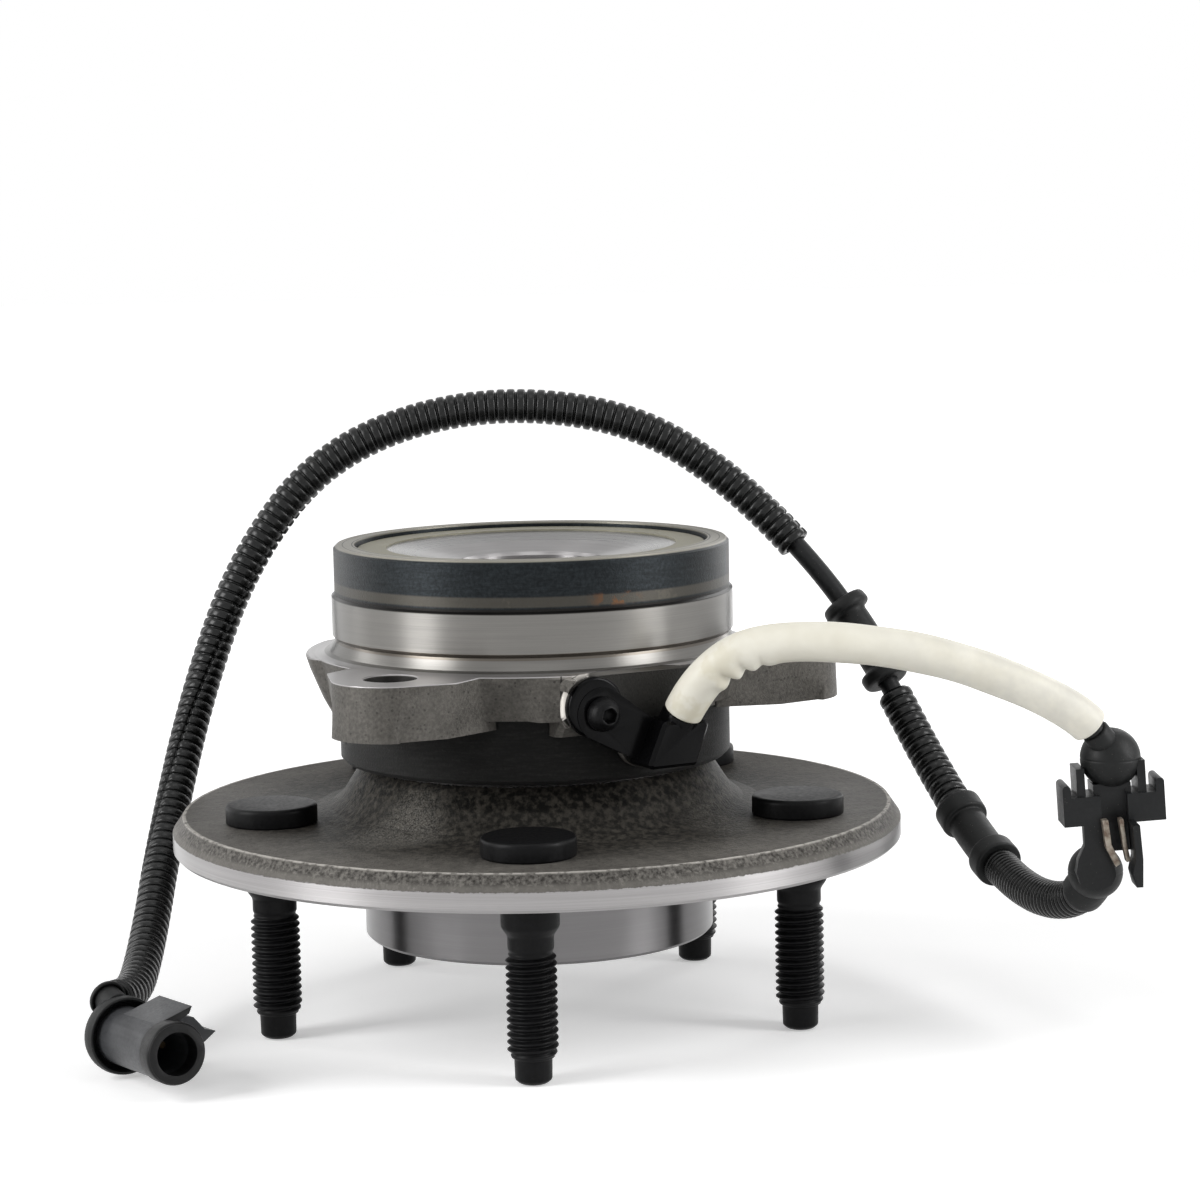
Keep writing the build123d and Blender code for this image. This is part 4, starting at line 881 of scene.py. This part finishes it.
def cream_finish():
    """Cream plastic that is greyer towards the clip, and smeared with oil towards the sensor."""
    finish, tree, shader = new_finish("cream_plastic", Specular_IOR_Level=0.4)
    x = use_group(tree, axis_group)["X"]
    soil = use_group(tree, grain_group, Scale=150.0, Contrast=0.22)["Shade"]
    cloud = use_group(tree, grain_group, Scale=90.0, Contrast=0.35)
    clean = blend_colours(tree, cloud["Shade"], screen(222, 218, 203), screen(235, 232, 220))
    dirt = both(tree, stepped(tree, x, *DIRT_X), blend_values(tree, soil, 0.05, 0.5))
    smear = both(tree, stepped(tree, x, *SMEAR_X), stepped(tree, soil, 0.45, 0.95))
    colour = layered(tree, clean, [(dirt, 1.0, screen(194, 192, 186)), (smear, 0.35, screen(196, 186, 152))])
    feed(tree, shader, Base_Color=colour, Roughness=blend_values(tree, cloud["Shade"], 0.4, 0.52))
    relief(tree, shader, both(tree, cloud["Relief"], 0.00008))
    return finish


finishes["cream_plastic"] = cream_finish()
print("finishes", list(finishes))

# %% [markdown]
# ## Carrier forging
# A forging's sides lean, so that it leaves its die. A copy of the frame's mesh is merged, and its plate
# and ears are drawn in towards their lower side. Edges that stand upright in the rough skin are shaded
# smooth, as the forging has no crisp corners there.
#
# Between the ears the forging swells out in two pads. The frame draws each as a block with a flat front,
# and here the block's points are tucked into the plate. A new surface takes its place: one outline of
# height and radius, turned about the bearing's axis and faded out at both sides. The block's own points
# are too few for it: pushed about, their long faces show as facets.

# %% Carrier forging
FACE_Z, WEB_LOWER_Z, WEB_R, WEB_LEAN, ON_WALL = 0.0482, 0.0374, 0.0545, 0.05, 0.00005
EAR_DEPTH, EAR_LEAN, EAR_TOP_Z, EAR_FROM_AXIS, EAR_SIDES = 0.0132, 0.17, 0.0475, 0.0535, (0.0105, 0.0195)
PAD_TURNS, PAD_HALF, PAD_FADE, PAD_COLUMNS, PAD_THICK = (56.6, 176.6), 21.5, 5.5, 61, 1.5
BLOCK_FROM_AXIS, BLOCK_HALF, BLOCK_CORNER, BLOCK_FOOT_Z, BLOCK_TOP_Z = 0.048, 0.0193, 0.0175, 0.033, 0.0477
TUCKED_R, TUCKED_Z = 0.0505, 0.0385
NODE_MERGE_AT, CRISP_DEG, MOSTLY_UPRIGHT, AT_SENSOR_FROM = 2e-6, 30, 0.9, 0.9
# Height and radius in millimetres: the swelling's front, and the plate behind it
PAD_OUTLINE = [(25.0, 48.3), (27.0, 48.6), (30.5, 49.3), (33.5, 50.4), (37.4, 52.5), (41.0, 54.0),
               (45.0, 55.6), (48.2, 56.6), (48.2, 55.0), (48.1, 54.0)]
PAD_BACK = [(25.0, 47.6), (36.9, 47.6), (37.6, 50.5), (48.2, 53.5)]


def merged_copy(node):
    """A worked copy of a frame node, whose loose triangles are joined at their corners."""
    work = bmesh.new()
    work.from_mesh(nodes[node].data)
    bmesh.ops.remove_doubles(work, verts=work.verts, dist=NODE_MERGE_AT)
    return work


def tuck_block_in(work, outwards, across):
    """Each point of a flat-fronted block moves to a place inside the plate."""
    for point in work.verts:
        radius, sideways, height = point.co.xy.length, abs(point.co.dot(across)), point.co.z
        if point.co.dot(outwards) < BLOCK_FROM_AXIS or sideways > BLOCK_HALF or height < BLOCK_FOOT_Z:
            continue
        foot_corner = (height < WEB_LOWER_Z + 2 * ON_WALL and sideways > BLOCK_CORNER
                       and TUCKED_R < radius < WEB_R - 2 * ON_WALL)
        proud = radius > WEB_R + ON_WALL and height < BLOCK_TOP_Z
        if foot_corner or proud:
            shrink = TUCKED_R / radius
            point.co = (point.co.x * shrink, point.co.y * shrink, max(height, TUCKED_Z))


def draw_in_ear(work, outwards, across):
    """Below the face an ear narrows: sideways places shrink in proportion to the depth below the face."""
    for point in work.verts:
        sideways = point.co.dot(across)
        on_side = point.co.dot(outwards) > EAR_FROM_AXIS and EAR_SIDES[0] < abs(sideways) < EAR_SIDES[1]
        if on_side and point.co.z < EAR_TOP_Z:
            depth = (FACE_Z - point.co.z) / EAR_DEPTH
            point.co -= EAR_LEAN * depth * sideways * across


def lean_plate_in(work):
    """The plate's outer wall leans in below the face, in proportion to depth, except at the sensor."""
    for point in work.verts:
        on_wall = abs(point.co.xy.length - WEB_R) < ON_WALL and point.co.z > WEB_LOWER_Z - ON_WALL
        if on_wall and point.co.xy.normalized().dot(Vector(SENSOR_OUT)) < AT_SENSOR_FROM:
            shrink = 1 - WEB_LEAN * (FACE_Z - point.co.z) / (FACE_Z - WEB_LOWER_Z)
            point.co = (point.co.x * shrink, point.co.y * shrink, point.co.z)


def forging():
    """Merged copy of the carrier without its blocks, crisp only where two faces meet at a clear angle."""
    work = merged_copy("carrier")
    for change, turns in ((tuck_block_in, PAD_TURNS), (draw_in_ear, EAR_TURNS)):
        for turn in np.radians(turns):
            outwards = Vector((math.cos(turn), math.sin(turn), 0))
            change(work, outwards, Vector((-outwards.y, outwards.x, 0)))
    lean_plate_in(work)
    for edge in work.edges:
        first, second = (point.co for point in edge.verts)
        upright = abs(first.z - second.z) > MOSTLY_UPRIGHT * (first - second).length
        outside = min(first.xy.length, second.xy.length) > TUCKED_R
        rough = outside and max(first.z, second.z) < FACE_Z + 2 * ON_WALL
        edge.smooth = edge.calc_face_angle(0.0) < math.radians(CRISP_DEG) or (upright and rough)
    return piece_from_bmesh("carrier_forging", work)


def pad_grid(turn):
    """Rows up the outline, columns sideways along the front and back again inside the plate.

    The front's radius is back + (outline - back) * fade, and the fade goes smoothly to 0 at both sides."""
    heights, radii = rounded(PAD_OUTLINE, 0.7).T
    back = np.interp(heights, *np.array(PAD_BACK).T)
    sideways = np.linspace(-PAD_HALF, PAD_HALF, PAD_COLUMNS)
    share = np.clip((PAD_HALF - np.abs(sideways)) / PAD_FADE, 0, 1)
    fade = share ** 2 * (3 - 2 * share)
    front = back[:, None] + (radii - back)[:, None] * fade
    radius = np.concatenate([front, np.repeat(back[:, None] - PAD_THICK, PAD_COLUMNS, axis=1)], axis=1)
    sideways = np.concatenate([sideways, sideways[::-1]])
    reach = np.sqrt(radius ** 2 - sideways ** 2)
    outwards, across = np.array([math.cos(turn), math.sin(turn)]), np.array([-math.sin(turn), math.cos(turn)])
    flat = reach[..., None] * outwards + sideways[:, None] * across
    grid = np.concatenate([flat, np.broadcast_to(heights[:, None, None], reach.shape + (1,))], axis=-1)
    ends = [np.broadcast_to(row.mean(axis=0), (1, *row.shape)) for row in (grid[0], grid[-1])]
    return MM * np.concatenate([ends[0], grid, ends[1]])


carrier_forging = forging()
forged_pads = piece_from_grids("forged_pads", [pad_grid(turn) for turn in np.radians(PAD_TURNS)])
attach(forged_pads, "carrier")
paint(carrier_steel, carrier_forging, forged_pads)
print("forging", len(carrier_forging.data.polygons), "faces, pads", len(forged_pads.data.polygons))

# %% [markdown]
# ## Wheel studs
# Five studs are pressed through the flange from behind. Each is one turned surface from its tip to its
# head. The thread is a height added to the turned radius: it depends on the length along the stud and
# on the angle together, so the ridge climbs one pitch in one turn. It fades out at both ends.

# %% Wheel studs
STUD_CIRCLE_R, STUD_FIRST_DEG, STUD_COUNT = 67.5, -91.9, 5
STUD_TIP_Z, STUD_HEAD_TOP_Z, STUD_COLUMNS = -44.75, 13.5, 40
THREAD_Z0, THREAD_Z1, THREAD_PITCH, ROWS_PER_PITCH, CREST_R = -38.6, -13.9, 1.75, 10, 6.0
THREAD_DEPTH, THREAD_STEEPNESS, THREAD_ROOT, FADE_IN, FADE_OUT = 0.95, 2.6, 0.12, 1.6, 1.2
# Height and radius in millimetres, below and above the thread
STUD_BELOW = [(STUD_TIP_Z, 0), (STUD_TIP_Z, 3.3), (-43.9, 4.35), (-38.9, 4.45), (-38.0, 5.05)]
STUD_ABOVE = [(-13.6, 5.1), (-13.0, 5.4), (-9.9, 5.4), (-7.8, 6.85), (-0.2, 6.85), (0.3, 6.0), (8.8, 6.0),
              (8.8, 11.0), (9.1, 11.2), (12.6, 11.2), (13.2, 11.0), (STUD_HEAD_TOP_Z, 10.4),
              (STUD_HEAD_TOP_Z, 0)]


def thread_height(height, angle):
    """Ridge height: a triangle wave of (height / pitch - angle / one turn), flattened at crest and root."""
    turns = height[:, None] / THREAD_PITCH - angle[None, :] / (2 * np.pi)
    triangle = 0.5 - np.abs(turns - np.floor(turns) - 0.5)
    wave = np.clip(THREAD_STEEPNESS * triangle - THREAD_ROOT, 0, 1)
    fade = np.clip((height - THREAD_Z0) / FADE_IN, 0, 1) * np.clip((THREAD_Z1 - height) / FADE_OUT, 0, 1)
    return THREAD_DEPTH * wave * fade[:, None]


def stud_grid(place):
    """Rows up the stud, columns round it, about a place on the stud circle."""
    threaded = np.arange(THREAD_Z0, THREAD_Z1, THREAD_PITCH / ROWS_PER_PITCH)
    below, above = rounded(STUD_BELOW, 0.4), rounded(STUD_ABOVE, 0.5)
    below = below[below[:, 0] < THREAD_Z0]
    heights = np.concatenate([below[:, 0], threaded, above[:, 0]])
    radii = np.concatenate([below[:, 1], np.full(len(threaded), CREST_R - THREAD_DEPTH), above[:, 1]])
    angle = np.linspace(0, 2 * np.pi, STUD_COLUMNS, endpoint=False)
    radius = radii[:, None] + thread_height(heights, angle) * (radii > 1)[:, None]
    grid = np.stack([place[0] + radius * np.cos(angle), place[1] + radius * np.sin(angle),
                     np.broadcast_to(heights[:, None], radius.shape)], axis=-1)
    return MM * grid


stud_turns = np.radians(STUD_FIRST_DEG + 360 / STUD_COUNT * np.arange(STUD_COUNT))
stud_places = STUD_CIRCLE_R * np.stack([np.cos(stud_turns), np.sin(stud_turns)], axis=1)
threaded_studs = piece_from_grids("threaded_studs", [stud_grid(place) for place in stud_places])
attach(threaded_studs, "hub")
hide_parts("wheel_studs")
paint(finishes["black_steel"], threaded_studs)
print("studs", len(threaded_studs.data.polygons), "faces")

# %% [markdown]
# ## Sleeve of the lead
# A cream plastic sleeve covers the lead from the sensor to just short of the clip. It is a tube that
# follows the lead, with an inner wall. Where it bends away from the sensor its inner side is pushed into
# small folds, which are heights added on one side only.

# %% Sleeve
SLEEVE_R, SLEEVE_BORE_R, SLEEVE_START, SLEEVE_END = 4.7, 3.1, 0.1, 109.0
SLEEVE_COLUMNS, SLEEVE_STEP, BORE_STEP = 48, 0.5, 4.0


def walled_tube(name, line, start, end, outer, inner, step, growth, columns, edge=0.5):
    """Outer wall from start to end, then the inner wall back again, closed on itself. Millimetres.

    Growth gives the height that is added to the outer wall, from the lengths and the angles."""
    turns = np.linspace(0, 2 * np.pi, columns, endpoint=False)
    out = filled_in(rounded([(start, inner), (start, outer), (end, outer), (end, inner)], edge), step)
    profile = np.concatenate([out, filled_in([(end, inner), (start, inner)], BORE_STEP)[1:-1]])
    height = growth(profile[:, 0], turns) * (profile[:, 1] > (outer + inner) / 2)[:, None]
    grid = rings(line, MM * profile[:, 0], MM * profile[:, 1], growth=MM * height, phases=turns)
    return piece_from_grids(name, [grid], loop_rows=True)


FOLD_TURN, FOLD_SPREAD = 3.1, 0.55
# Length along the lead, width and height of each fold
FOLDS = [(12.6, 1.5, 0.6), (15.2, 0.8, -1.1), (17.8, 1.3, 0.85), (20.4, 0.8, -0.8), (23.0, 1.2, 0.5),
         (25.4, 0.8, -0.45), (28.0, 1.6, 0.25)]


def sleeve_folds(along, turn):
    """Slow unevenness all along, and bell-shaped folds on the side that is inside the bend."""
    bent = 0.08 * np.sin(along / 8.0)[:, None] * np.cos(turn + 0.6)
    squashed = 0.06 * np.sin(along / 3.1)[:, None] * np.cos(2 * turn)
    wave = bent + squashed
    away = (turn - FOLD_TURN + np.pi) % (2 * np.pi) - np.pi
    inside = np.exp(-away ** 2 / FOLD_SPREAD)
    for place, width, height in FOLDS:
        wave = wave + height * np.exp(-((along - place) / width) ** 2)[:, None] * inside
    return wave


sleeve = walled_tube("sleeve", lead_line, SLEEVE_START, SLEEVE_END, SLEEVE_R, SLEEVE_BORE_R, SLEEVE_STEP,
                     sleeve_folds, SLEEVE_COLUMNS)
paint(finishes["cream_plastic"], sleeve)
print("sleeve", len(sleeve.data.polygons), "faces")

# %% [markdown]
# ## Ribbed conduit
# Split conduit has a ring every couple of millimetres, which lets it bend, and one slit along it for
# laying the cable in. The rings come from a profile that repeats: a rounded crest, a steep side, a narrow
# groove. The slit is a dip at one angle, and the directions carried along the line keep it straight. On
# the long upper run a slow twist is added, since that conduit winds round a little where it is bent.

# %% Conduits
CONDUIT_R, CONDUIT_BORE_R = 4.65, 3.15
CREST_SHARE = np.array([0.0, 0.06, 0.2, 0.5, 0.8, 0.94, 1.0])
CREST_RISE = np.array([0.3, 0.8, 0.97, 1.0, 0.97, 0.8, 0.3])
SLIT_HALF, SLIT_DEPTH, CLOSED_COLUMNS = 0.075, 0.95, 25
SLIT_PLACES, SLIT_DIPS = np.array([-0.7, 0.0, 0.7]), np.array([0.4, 1.0, 0.4])


def conduit(name, line, start, end, pitch, depth, land, slit_turn, twist=0.0):
    """Outer wall ribbed from start to end, then the bore back again. Radii and lengths in millimetres.

    The crest takes the share called land of each pitch, and the groove is cut to the depth. The slit
    starts at an angle and winds round by the twist, in radians for each millimetre."""
    count = int(round((end - start) / pitch))
    pitch = (end - start) / count
    share = np.concatenate([CREST_SHARE * land, [land + 0.04, 0.97]])
    rise = np.concatenate([CREST_RISE, [0.0, 0.0]])
    ribs = ((np.arange(count)[:, None] + share).ravel()) * pitch + start
    back = np.linspace(end - 0.05, start + 0.05, max(4, int((end - start) / BORE_STEP)))
    along = np.concatenate([[start], ribs, [end], back])
    radius = np.full(len(along), CONDUIT_BORE_R)
    radius[1:1 + len(ribs)] = np.tile(CONDUIT_R - depth + depth * rise, count)
    closed = np.linspace(2 * SLIT_HALF, 2 * np.pi - 2 * SLIT_HALF, CLOSED_COLUMNS)
    turns = slit_turn + np.concatenate([closed, 2 * np.pi + SLIT_HALF * SLIT_PLACES])
    turns = turns + (twist * (along - start))[:, None]
    dip = np.concatenate([np.zeros(CLOSED_COLUMNS), -SLIT_DEPTH * SLIT_DIPS])
    growth = dip * (radius > CONDUIT_BORE_R + 0.3)[:, None]
    grid = rings(line, MM * along, MM * radius, growth=MM * growth, phases=turns)
    piece = piece_from_grids(name, [grid], loop_rows=True)
    paint(finishes["conduit_plastic"], piece)
    print(name, count, "ribs", len(piece.data.polygons), "faces")
    return piece


LOWER_SLIT_TURN, UPPER_SLIT_TURN, UPPER_SLIT_TWIST = 2.4, -5.76, 0.024
LOWER_SPAN, MIDDLE_SPAN = (10.0, 51.5), (77.0, 114.5)
UPPER_SPAN = (163.5, main_line.total / MM - 5.0)
FINE_RIBS, COARSE_RIBS = (1.5, 0.5, 0.7), (2.65, 0.75, 0.8)
lower_ribs = conduit("lower_ribs", main_line, *LOWER_SPAN, *FINE_RIBS, LOWER_SLIT_TURN)
middle_ribs = conduit("middle_ribs", main_line, *MIDDLE_SPAN, *COARSE_RIBS, LOWER_SLIT_TURN)
upper_ribs = conduit("upper_ribs", main_line, *UPPER_SPAN, *COARSE_RIBS, UPPER_SLIT_TURN, UPPER_SLIT_TWIST)

# %% [markdown]
# ## Grommets and boots
# Two rubber grommets are moulded on the cable, where brackets on the car hold it. Each is a turned
# profile with a collar at both ends and a waist between, and follows the bend of the cable. The boots at
# the clip are turned too: a ball with a faint line where its mould parted, and a cuff.

# %% Grommets and boots
# Length along the cable and radius in millimetres
LARGE_PROFILE = [(51.5, 2.65), (51.5, 6.0), (52.2, 6.2), (56.4, 6.2), (57.1, 6.0), (57.3, 4.9), (71.2, 4.9),
                 (71.4, 6.0), (72.1, 6.2), (76.3, 6.2), (77.0, 6.0), (77.0, 2.65)]
SMALL_PROFILE = [(118.0, 2.65), (118.0, 6.0), (121.4, 6.4), (122.0, 4.2), (130.5, 4.75), (139.4, 4.2),
                 (140.1, 6.4), (143.5, 6.0), (143.5, 2.65)]
UPPER_CUFF = [(-9.7, 2.6), (-9.7, 3.0), (-9.2, 3.35), (-7.0, 3.4), (-4.0, 3.9), (-4.0, 2.6)]
LOWER_CUFF = [(1.0, 2.65), (1.0, 5.2), (9.2, 5.35), (10.0, 5.1), (10.0, 2.65)]
UPPER_BALL, UPPER_BALL_R = (136.4, -43.0, 24.0), 7.2
LOWER_BALL, LOWER_BALL_R = (133.3, -40.3, -4.0), 6.6


def rubber_on_cable(name, line, profile, soften, columns=44):
    """A rounded profile carried round a cable and closed at the cable's own radius."""
    wall = filled_in(rounded(profile, soften, 6), 1.0)
    inside = filled_in([wall[-1], wall[0]], 3.0)[1:-1]
    return turned(name, line, np.concatenate([wall, inside]), columns, loop_rows=True)


def ball_grid(centre, radius, line_depth=0.12):
    """A ball turned about the upright axis; its mould line is a narrow groove round the middle."""
    angle = np.concatenate([np.linspace(-90, -4, 20), [-2.2, -1.0, 0.0, 1.0, 2.2], np.linspace(4, 90, 20)])
    dip = line_depth * np.exp(-(angle / 1.3) ** 2)
    angle = np.radians(angle)
    heights, radii = (radius - dip) * np.sin(angle), np.maximum((radius - dip) * np.cos(angle), 0)
    upright = straight_line(np.array(centre) - (0, 0, radius), np.array(centre) + (0, 0, radius))
    return rings(upright, MM * (heights + radius), MM * radii, 48)


large_rubber = rubber_on_cable("large_rubber", main_line, LARGE_PROFILE, 1.1)
small_rubber = rubber_on_cable("small_rubber", main_line, SMALL_PROFILE, 1.3)
upper_cuff = MM * np.array(UPPER_CUFF)
cuff_grid = rings(lead_line, upper_cuff[:, 0] + lead_line.total, upper_cuff[:, 1], 36)
upper_boot = piece_from_grids("upper_boot", [ball_grid(UPPER_BALL, UPPER_BALL_R), cuff_grid])
lower_cuff = MM * filled_in(rounded(LOWER_CUFF, 0.4), 1.0)
lower_grid = rings(main_line, lower_cuff[:, 0], lower_cuff[:, 1], 44)
lower_boot = piece_from_grids("lower_boot", [ball_grid(LOWER_BALL, LOWER_BALL_R), lower_grid])
rubber_pieces = [large_rubber, small_rubber, upper_boot, lower_boot]
paint(finishes["black_rubber"], *rubber_pieces)
print("rubber", {piece.name: len(piece.data.polygons) for piece in rubber_pieces})

# %% [markdown]
# ## Softened edges
# A moulded part has no knife edges. The frame's parts do, since they are drawn for measuring. So sensor,
# clip, spring strips and connector take a copy of the frame's mesh, merge its loose triangles into whole
# faces, and let a Bevel modifier round every edge that is sharper than a set angle.

# %% Softened copies
def softened(name, node, width_mm, finish, segments=3, sharp=32.0):
    """A merged copy of a CAD node with its sharp edges rounded."""
    work = merged_copy(node)
    bmesh.ops.dissolve_limit(work, angle_limit=math.radians(1.0), verts=work.verts, edges=work.edges)
    piece = piece_from_bmesh(name, work)
    bevel = piece.modifiers.new("soft edges", "BEVEL")
    bevel.width, bevel.segments, bevel.limit_method = width_mm * MM, segments, "ANGLE"
    bevel.angle_limit, bevel.harden_normals = math.radians(sharp), True
    paint(finish, piece)
    print(name, len(piece.data.polygons), "faces before its edges are rounded")
    return piece


# A point on the connector's axis in millimetres, and its mouth's turn and tilt in degrees
CONNECTOR_AT, CONNECTOR_DEG, CONNECTOR_TILT = np.array([-97.6, -54.0, -34.85]), -59.2, 3.3
MOUTH_RING_START = 22.9


def connector_axes():
    """Direction to the connector's mouth, and the direction square to it that points up."""
    turn, tilt = np.radians([CONNECTOR_DEG, CONNECTOR_TILT])
    mouth = np.array([np.cos(turn) * np.cos(tilt), np.sin(turn) * np.cos(tilt), np.sin(tilt)])
    sideways = np.array([-np.sin(turn), np.cos(turn), 0.0])
    return mouth, np.cross(mouth, sideways)


mouth_way, up_way = connector_axes()


def shell_plastic():
    """Grey plastic, black from the ring round the mouth onwards.

    The length along the connector's axis is (place - start) . direction."""
    finish, tree, shader = new_finish("shell_plastic", Specular_IOR_Level=0.22)
    start = link(tree, "ShaderNodeVectorMath", {0: object_place(tree), 1: tuple(MM * CONNECTOR_AT)},
                 operation="SUBTRACT")
    along = link(tree, "ShaderNodeVectorMath", {0: start.outputs[0], 1: tuple(mouth_way)},
                 operation="DOT_PRODUCT").outputs["Value"]
    skin = use_group(tree, grain_group, Scale=1200.0, Contrast=0.35)
    cloud = use_group(tree, grain_group, Scale=170.0, Contrast=0.3)["Shade"]
    grey = blend_colours(tree, cloud, screen(44, 45, 47), screen(64, 65, 67))
    black = blend_colours(tree, skin["Shade"], screen(9, 9, 9), screen(15, 15, 16))
    ring = MM * MOUTH_RING_START
    feed(tree, shader, Base_Color=blend_colours(tree, stepped(tree, along, ring, ring + 0.0004), grey, black),
         Roughness=blend_values(tree, skin["Shade"], 0.34, 0.48))
    relief(tree, shader, both(tree, skin["Relief"], 0.00002))
    return finish


sensor_moulding = softened("sensor_moulding", "sensor_body", 0.5, finishes["glossy_plastic"])
clip_moulding = softened("clip_moulding", "clip_body", 0.3, finishes["black_plastic"])
clip_strips = softened("clip_strips", "clip_spring", 0.12, finishes["rusty_steel"], 2)
connector_shell = softened("connector_shell", "connector_housing", 0.3, shell_plastic())

# %% [markdown]
# ## Sensor's round seat
# Behind the screw the sensor's moulding has a round shoulder that nearly fills the milled pocket. It is a
# turned disc with a rounded edge.

# %% Sensor's round seat
SHOULDER_OUT = 4.0
SHOULDER_PROFILE = [(0.02, 0.0), (0.02, 7.2), (3.0, 7.2), (3.0, 0.0)]


def seat_point(along, height, out):
    """A point given along the sensor's seat, up it and out from it, in millimetres."""
    flat = (SEAT_FROM_AXIS / MM + out) * np.array(SENSOR_OUT) + along * np.array(SENSOR_ALONG)
    return np.array([*flat, height])


shoulder_ends = [seat_point(SEAT_MIDDLE / MM, SEAT_HEIGHT / MM, out) for out in (0.0, SHOULDER_OUT)]
shoulder_line = straight_line(*shoulder_ends)
sensor_shoulder = turned("sensor_shoulder", shoulder_line, rounded(SHOULDER_PROFILE, 0.9, 7), 64)
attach(sensor_shoulder, "carrier")
paint(finishes["glossy_plastic"], sensor_shoulder)
print("shoulder", len(sensor_shoulder.data.polygons), "faces")

# %% [markdown]
# ## Connector boot
# Behind the connector a rubber disc seals against the car's bracket. It is cupped towards the barrel and
# its rim is round. A short neck leads out of its back, with a collar round the neck's end.

# %% Connector boot
DISC_PROFILE = [(-4.9, 0.0), (-4.9, 9.0), (-2.2, 9.4), (-0.2, 9.1), (-0.1, 8.5), (-2.4, 7.3), (-2.4, 0.0)]
NECK_LENGTH, NECK_DROP, DISC_LINE_BACK = 7.2, 1.6, 10
NECK_PROFILE = [(0.0, 2.0), (0.0, 4.0), (0.2, 4.5), (1.2, 4.5), (1.3, 3.9), (0.5, 3.5), (6.6, 3.4),
                (NECK_LENGTH, 0.0)]
disc_line = straight_line(CONNECTOR_AT - DISC_LINE_BACK * mouth_way, CONNECTOR_AT)
disc_wall = rounded(DISC_PROFILE, 1.6, 6)
neck_start = np.array(CABLE_POINTS[-1])
neck_line = straight_line(neck_start, neck_start + NECK_LENGTH * mouth_way - NECK_DROP * up_way)
neck_wall = rounded(NECK_PROFILE, 0.3)
boot_grids = [rings(disc_line, MM * (disc_wall[:, 0] + DISC_LINE_BACK), MM * disc_wall[:, 1], 56),
              rings(neck_line, MM * neck_wall[:, 0], MM * neck_wall[:, 1], 36)]
connector_rubber = piece_from_grids("connector_rubber", boot_grids)
paint(finishes["black_rubber"], connector_rubber)
print("connector boot", len(connector_rubber.data.polygons), "faces")

# %% [markdown]
# ## Sensor screw
# The screw that holds the sensor has a low domed head with a six-sided socket. The dome is turned. In the
# socket's rows the radius depends on the angle: the distance to a straight side is the flat's distance
# divided by the cosine of the angle from the middle of that side.

# %% Sensor screw
SCREW_DIRECTION = np.array([*SENSOR_OUT, 0.0])
SCREW_ROOT = seat_point(-9.8, 38.9, 0.0)
SHANK_DEPTH, SOCKET_FLAT, SOCKET_TURN, SCREW_COLUMNS = 5.5, 1.75, 0.3, 48
# Length out from the seat and radius, then length and share of the socket's own radius
DOME = [(-SHANK_DEPTH, 0.0), (-SHANK_DEPTH, 2.4), (3.2, 2.4), (3.2, 4.0), (3.7, 4.1), (4.4, 4.05),
        (5.4, 3.75), (6.3, 3.2), (7.0, 2.5), (7.25, 2.1)]
SOCKET_ROWS = [(7.3, 1.0), (7.05, 0.97), (4.8, 0.95), (4.8, 0.0)]


def screw_grid():
    """Rows of the dome, then rows of the socket, whose radius follows the six flats."""
    turns = np.linspace(0, 2 * np.pi, SCREW_COLUMNS, endpoint=False)
    hexagon = SOCKET_FLAT / np.cos((turns + SOCKET_TURN) % (np.pi / 3) - np.pi / 6)
    dome, socket = rounded(DOME, 0.25, 4), np.array(SOCKET_ROWS)
    radius = np.concatenate([np.repeat(dome[:, 1:], SCREW_COLUMNS, axis=1), socket[:, 1:] * hexagon])
    along = np.concatenate([dome[:, 0], socket[:, 0]]) + SHANK_DEPTH
    axis = straight_line(SCREW_ROOT - SHANK_DEPTH * SCREW_DIRECTION, SCREW_ROOT + 8 * SCREW_DIRECTION)
    return rings(axis, MM * along, np.zeros(len(along)), growth=MM * radius, phases=turns)


domed_screw = piece_from_grids("domed_screw", [screw_grid()])
paint(finishes["black_steel"], domed_screw)
print("screw", len(domed_screw.data.polygons), "faces")

# %% [markdown]
# ## Pieces on the carrier
# Every piece in this list rides on the carrier and stands for its part of the frame, which is hidden.

# %% Pieces placed on the carrier
RUBBER, PLASTIC, RIBBED = "black_rubber", "black_plastic", "black_conduit"
on_carrier = [(carrier_forging, "carrier", "forged_steel"), (lead_wire, "lead_cable", RUBBER),
              (main_wire, "main_cable", RUBBER), (sleeve, "lead_sleeve", "cream_sleeve"),
              (lower_ribs, "lower_conduit", RIBBED), (middle_ribs, "middle_conduit", RIBBED),
              (upper_ribs, "upper_conduit", RIBBED), (large_rubber, "large_grommet", RUBBER),
              (small_rubber, "small_grommet", RUBBER), (upper_boot, "clip_upper_boot", RUBBER),
              (lower_boot, "clip_lower_boot", RUBBER), (sensor_moulding, "sensor_body", PLASTIC),
              (clip_moulding, "clip_body", PLASTIC), (clip_strips, "clip_spring", "rusty_steel"),
              (connector_shell, "connector_housing", PLASTIC), (connector_rubber, "connector_boot", RUBBER),
              (domed_screw, "sensor_screw", "black_steel")]
for piece, stands_for, slot_name in on_carrier:
    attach(piece, "carrier")
    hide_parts(stands_for)
print("pieces on the carrier", len(on_carrier))
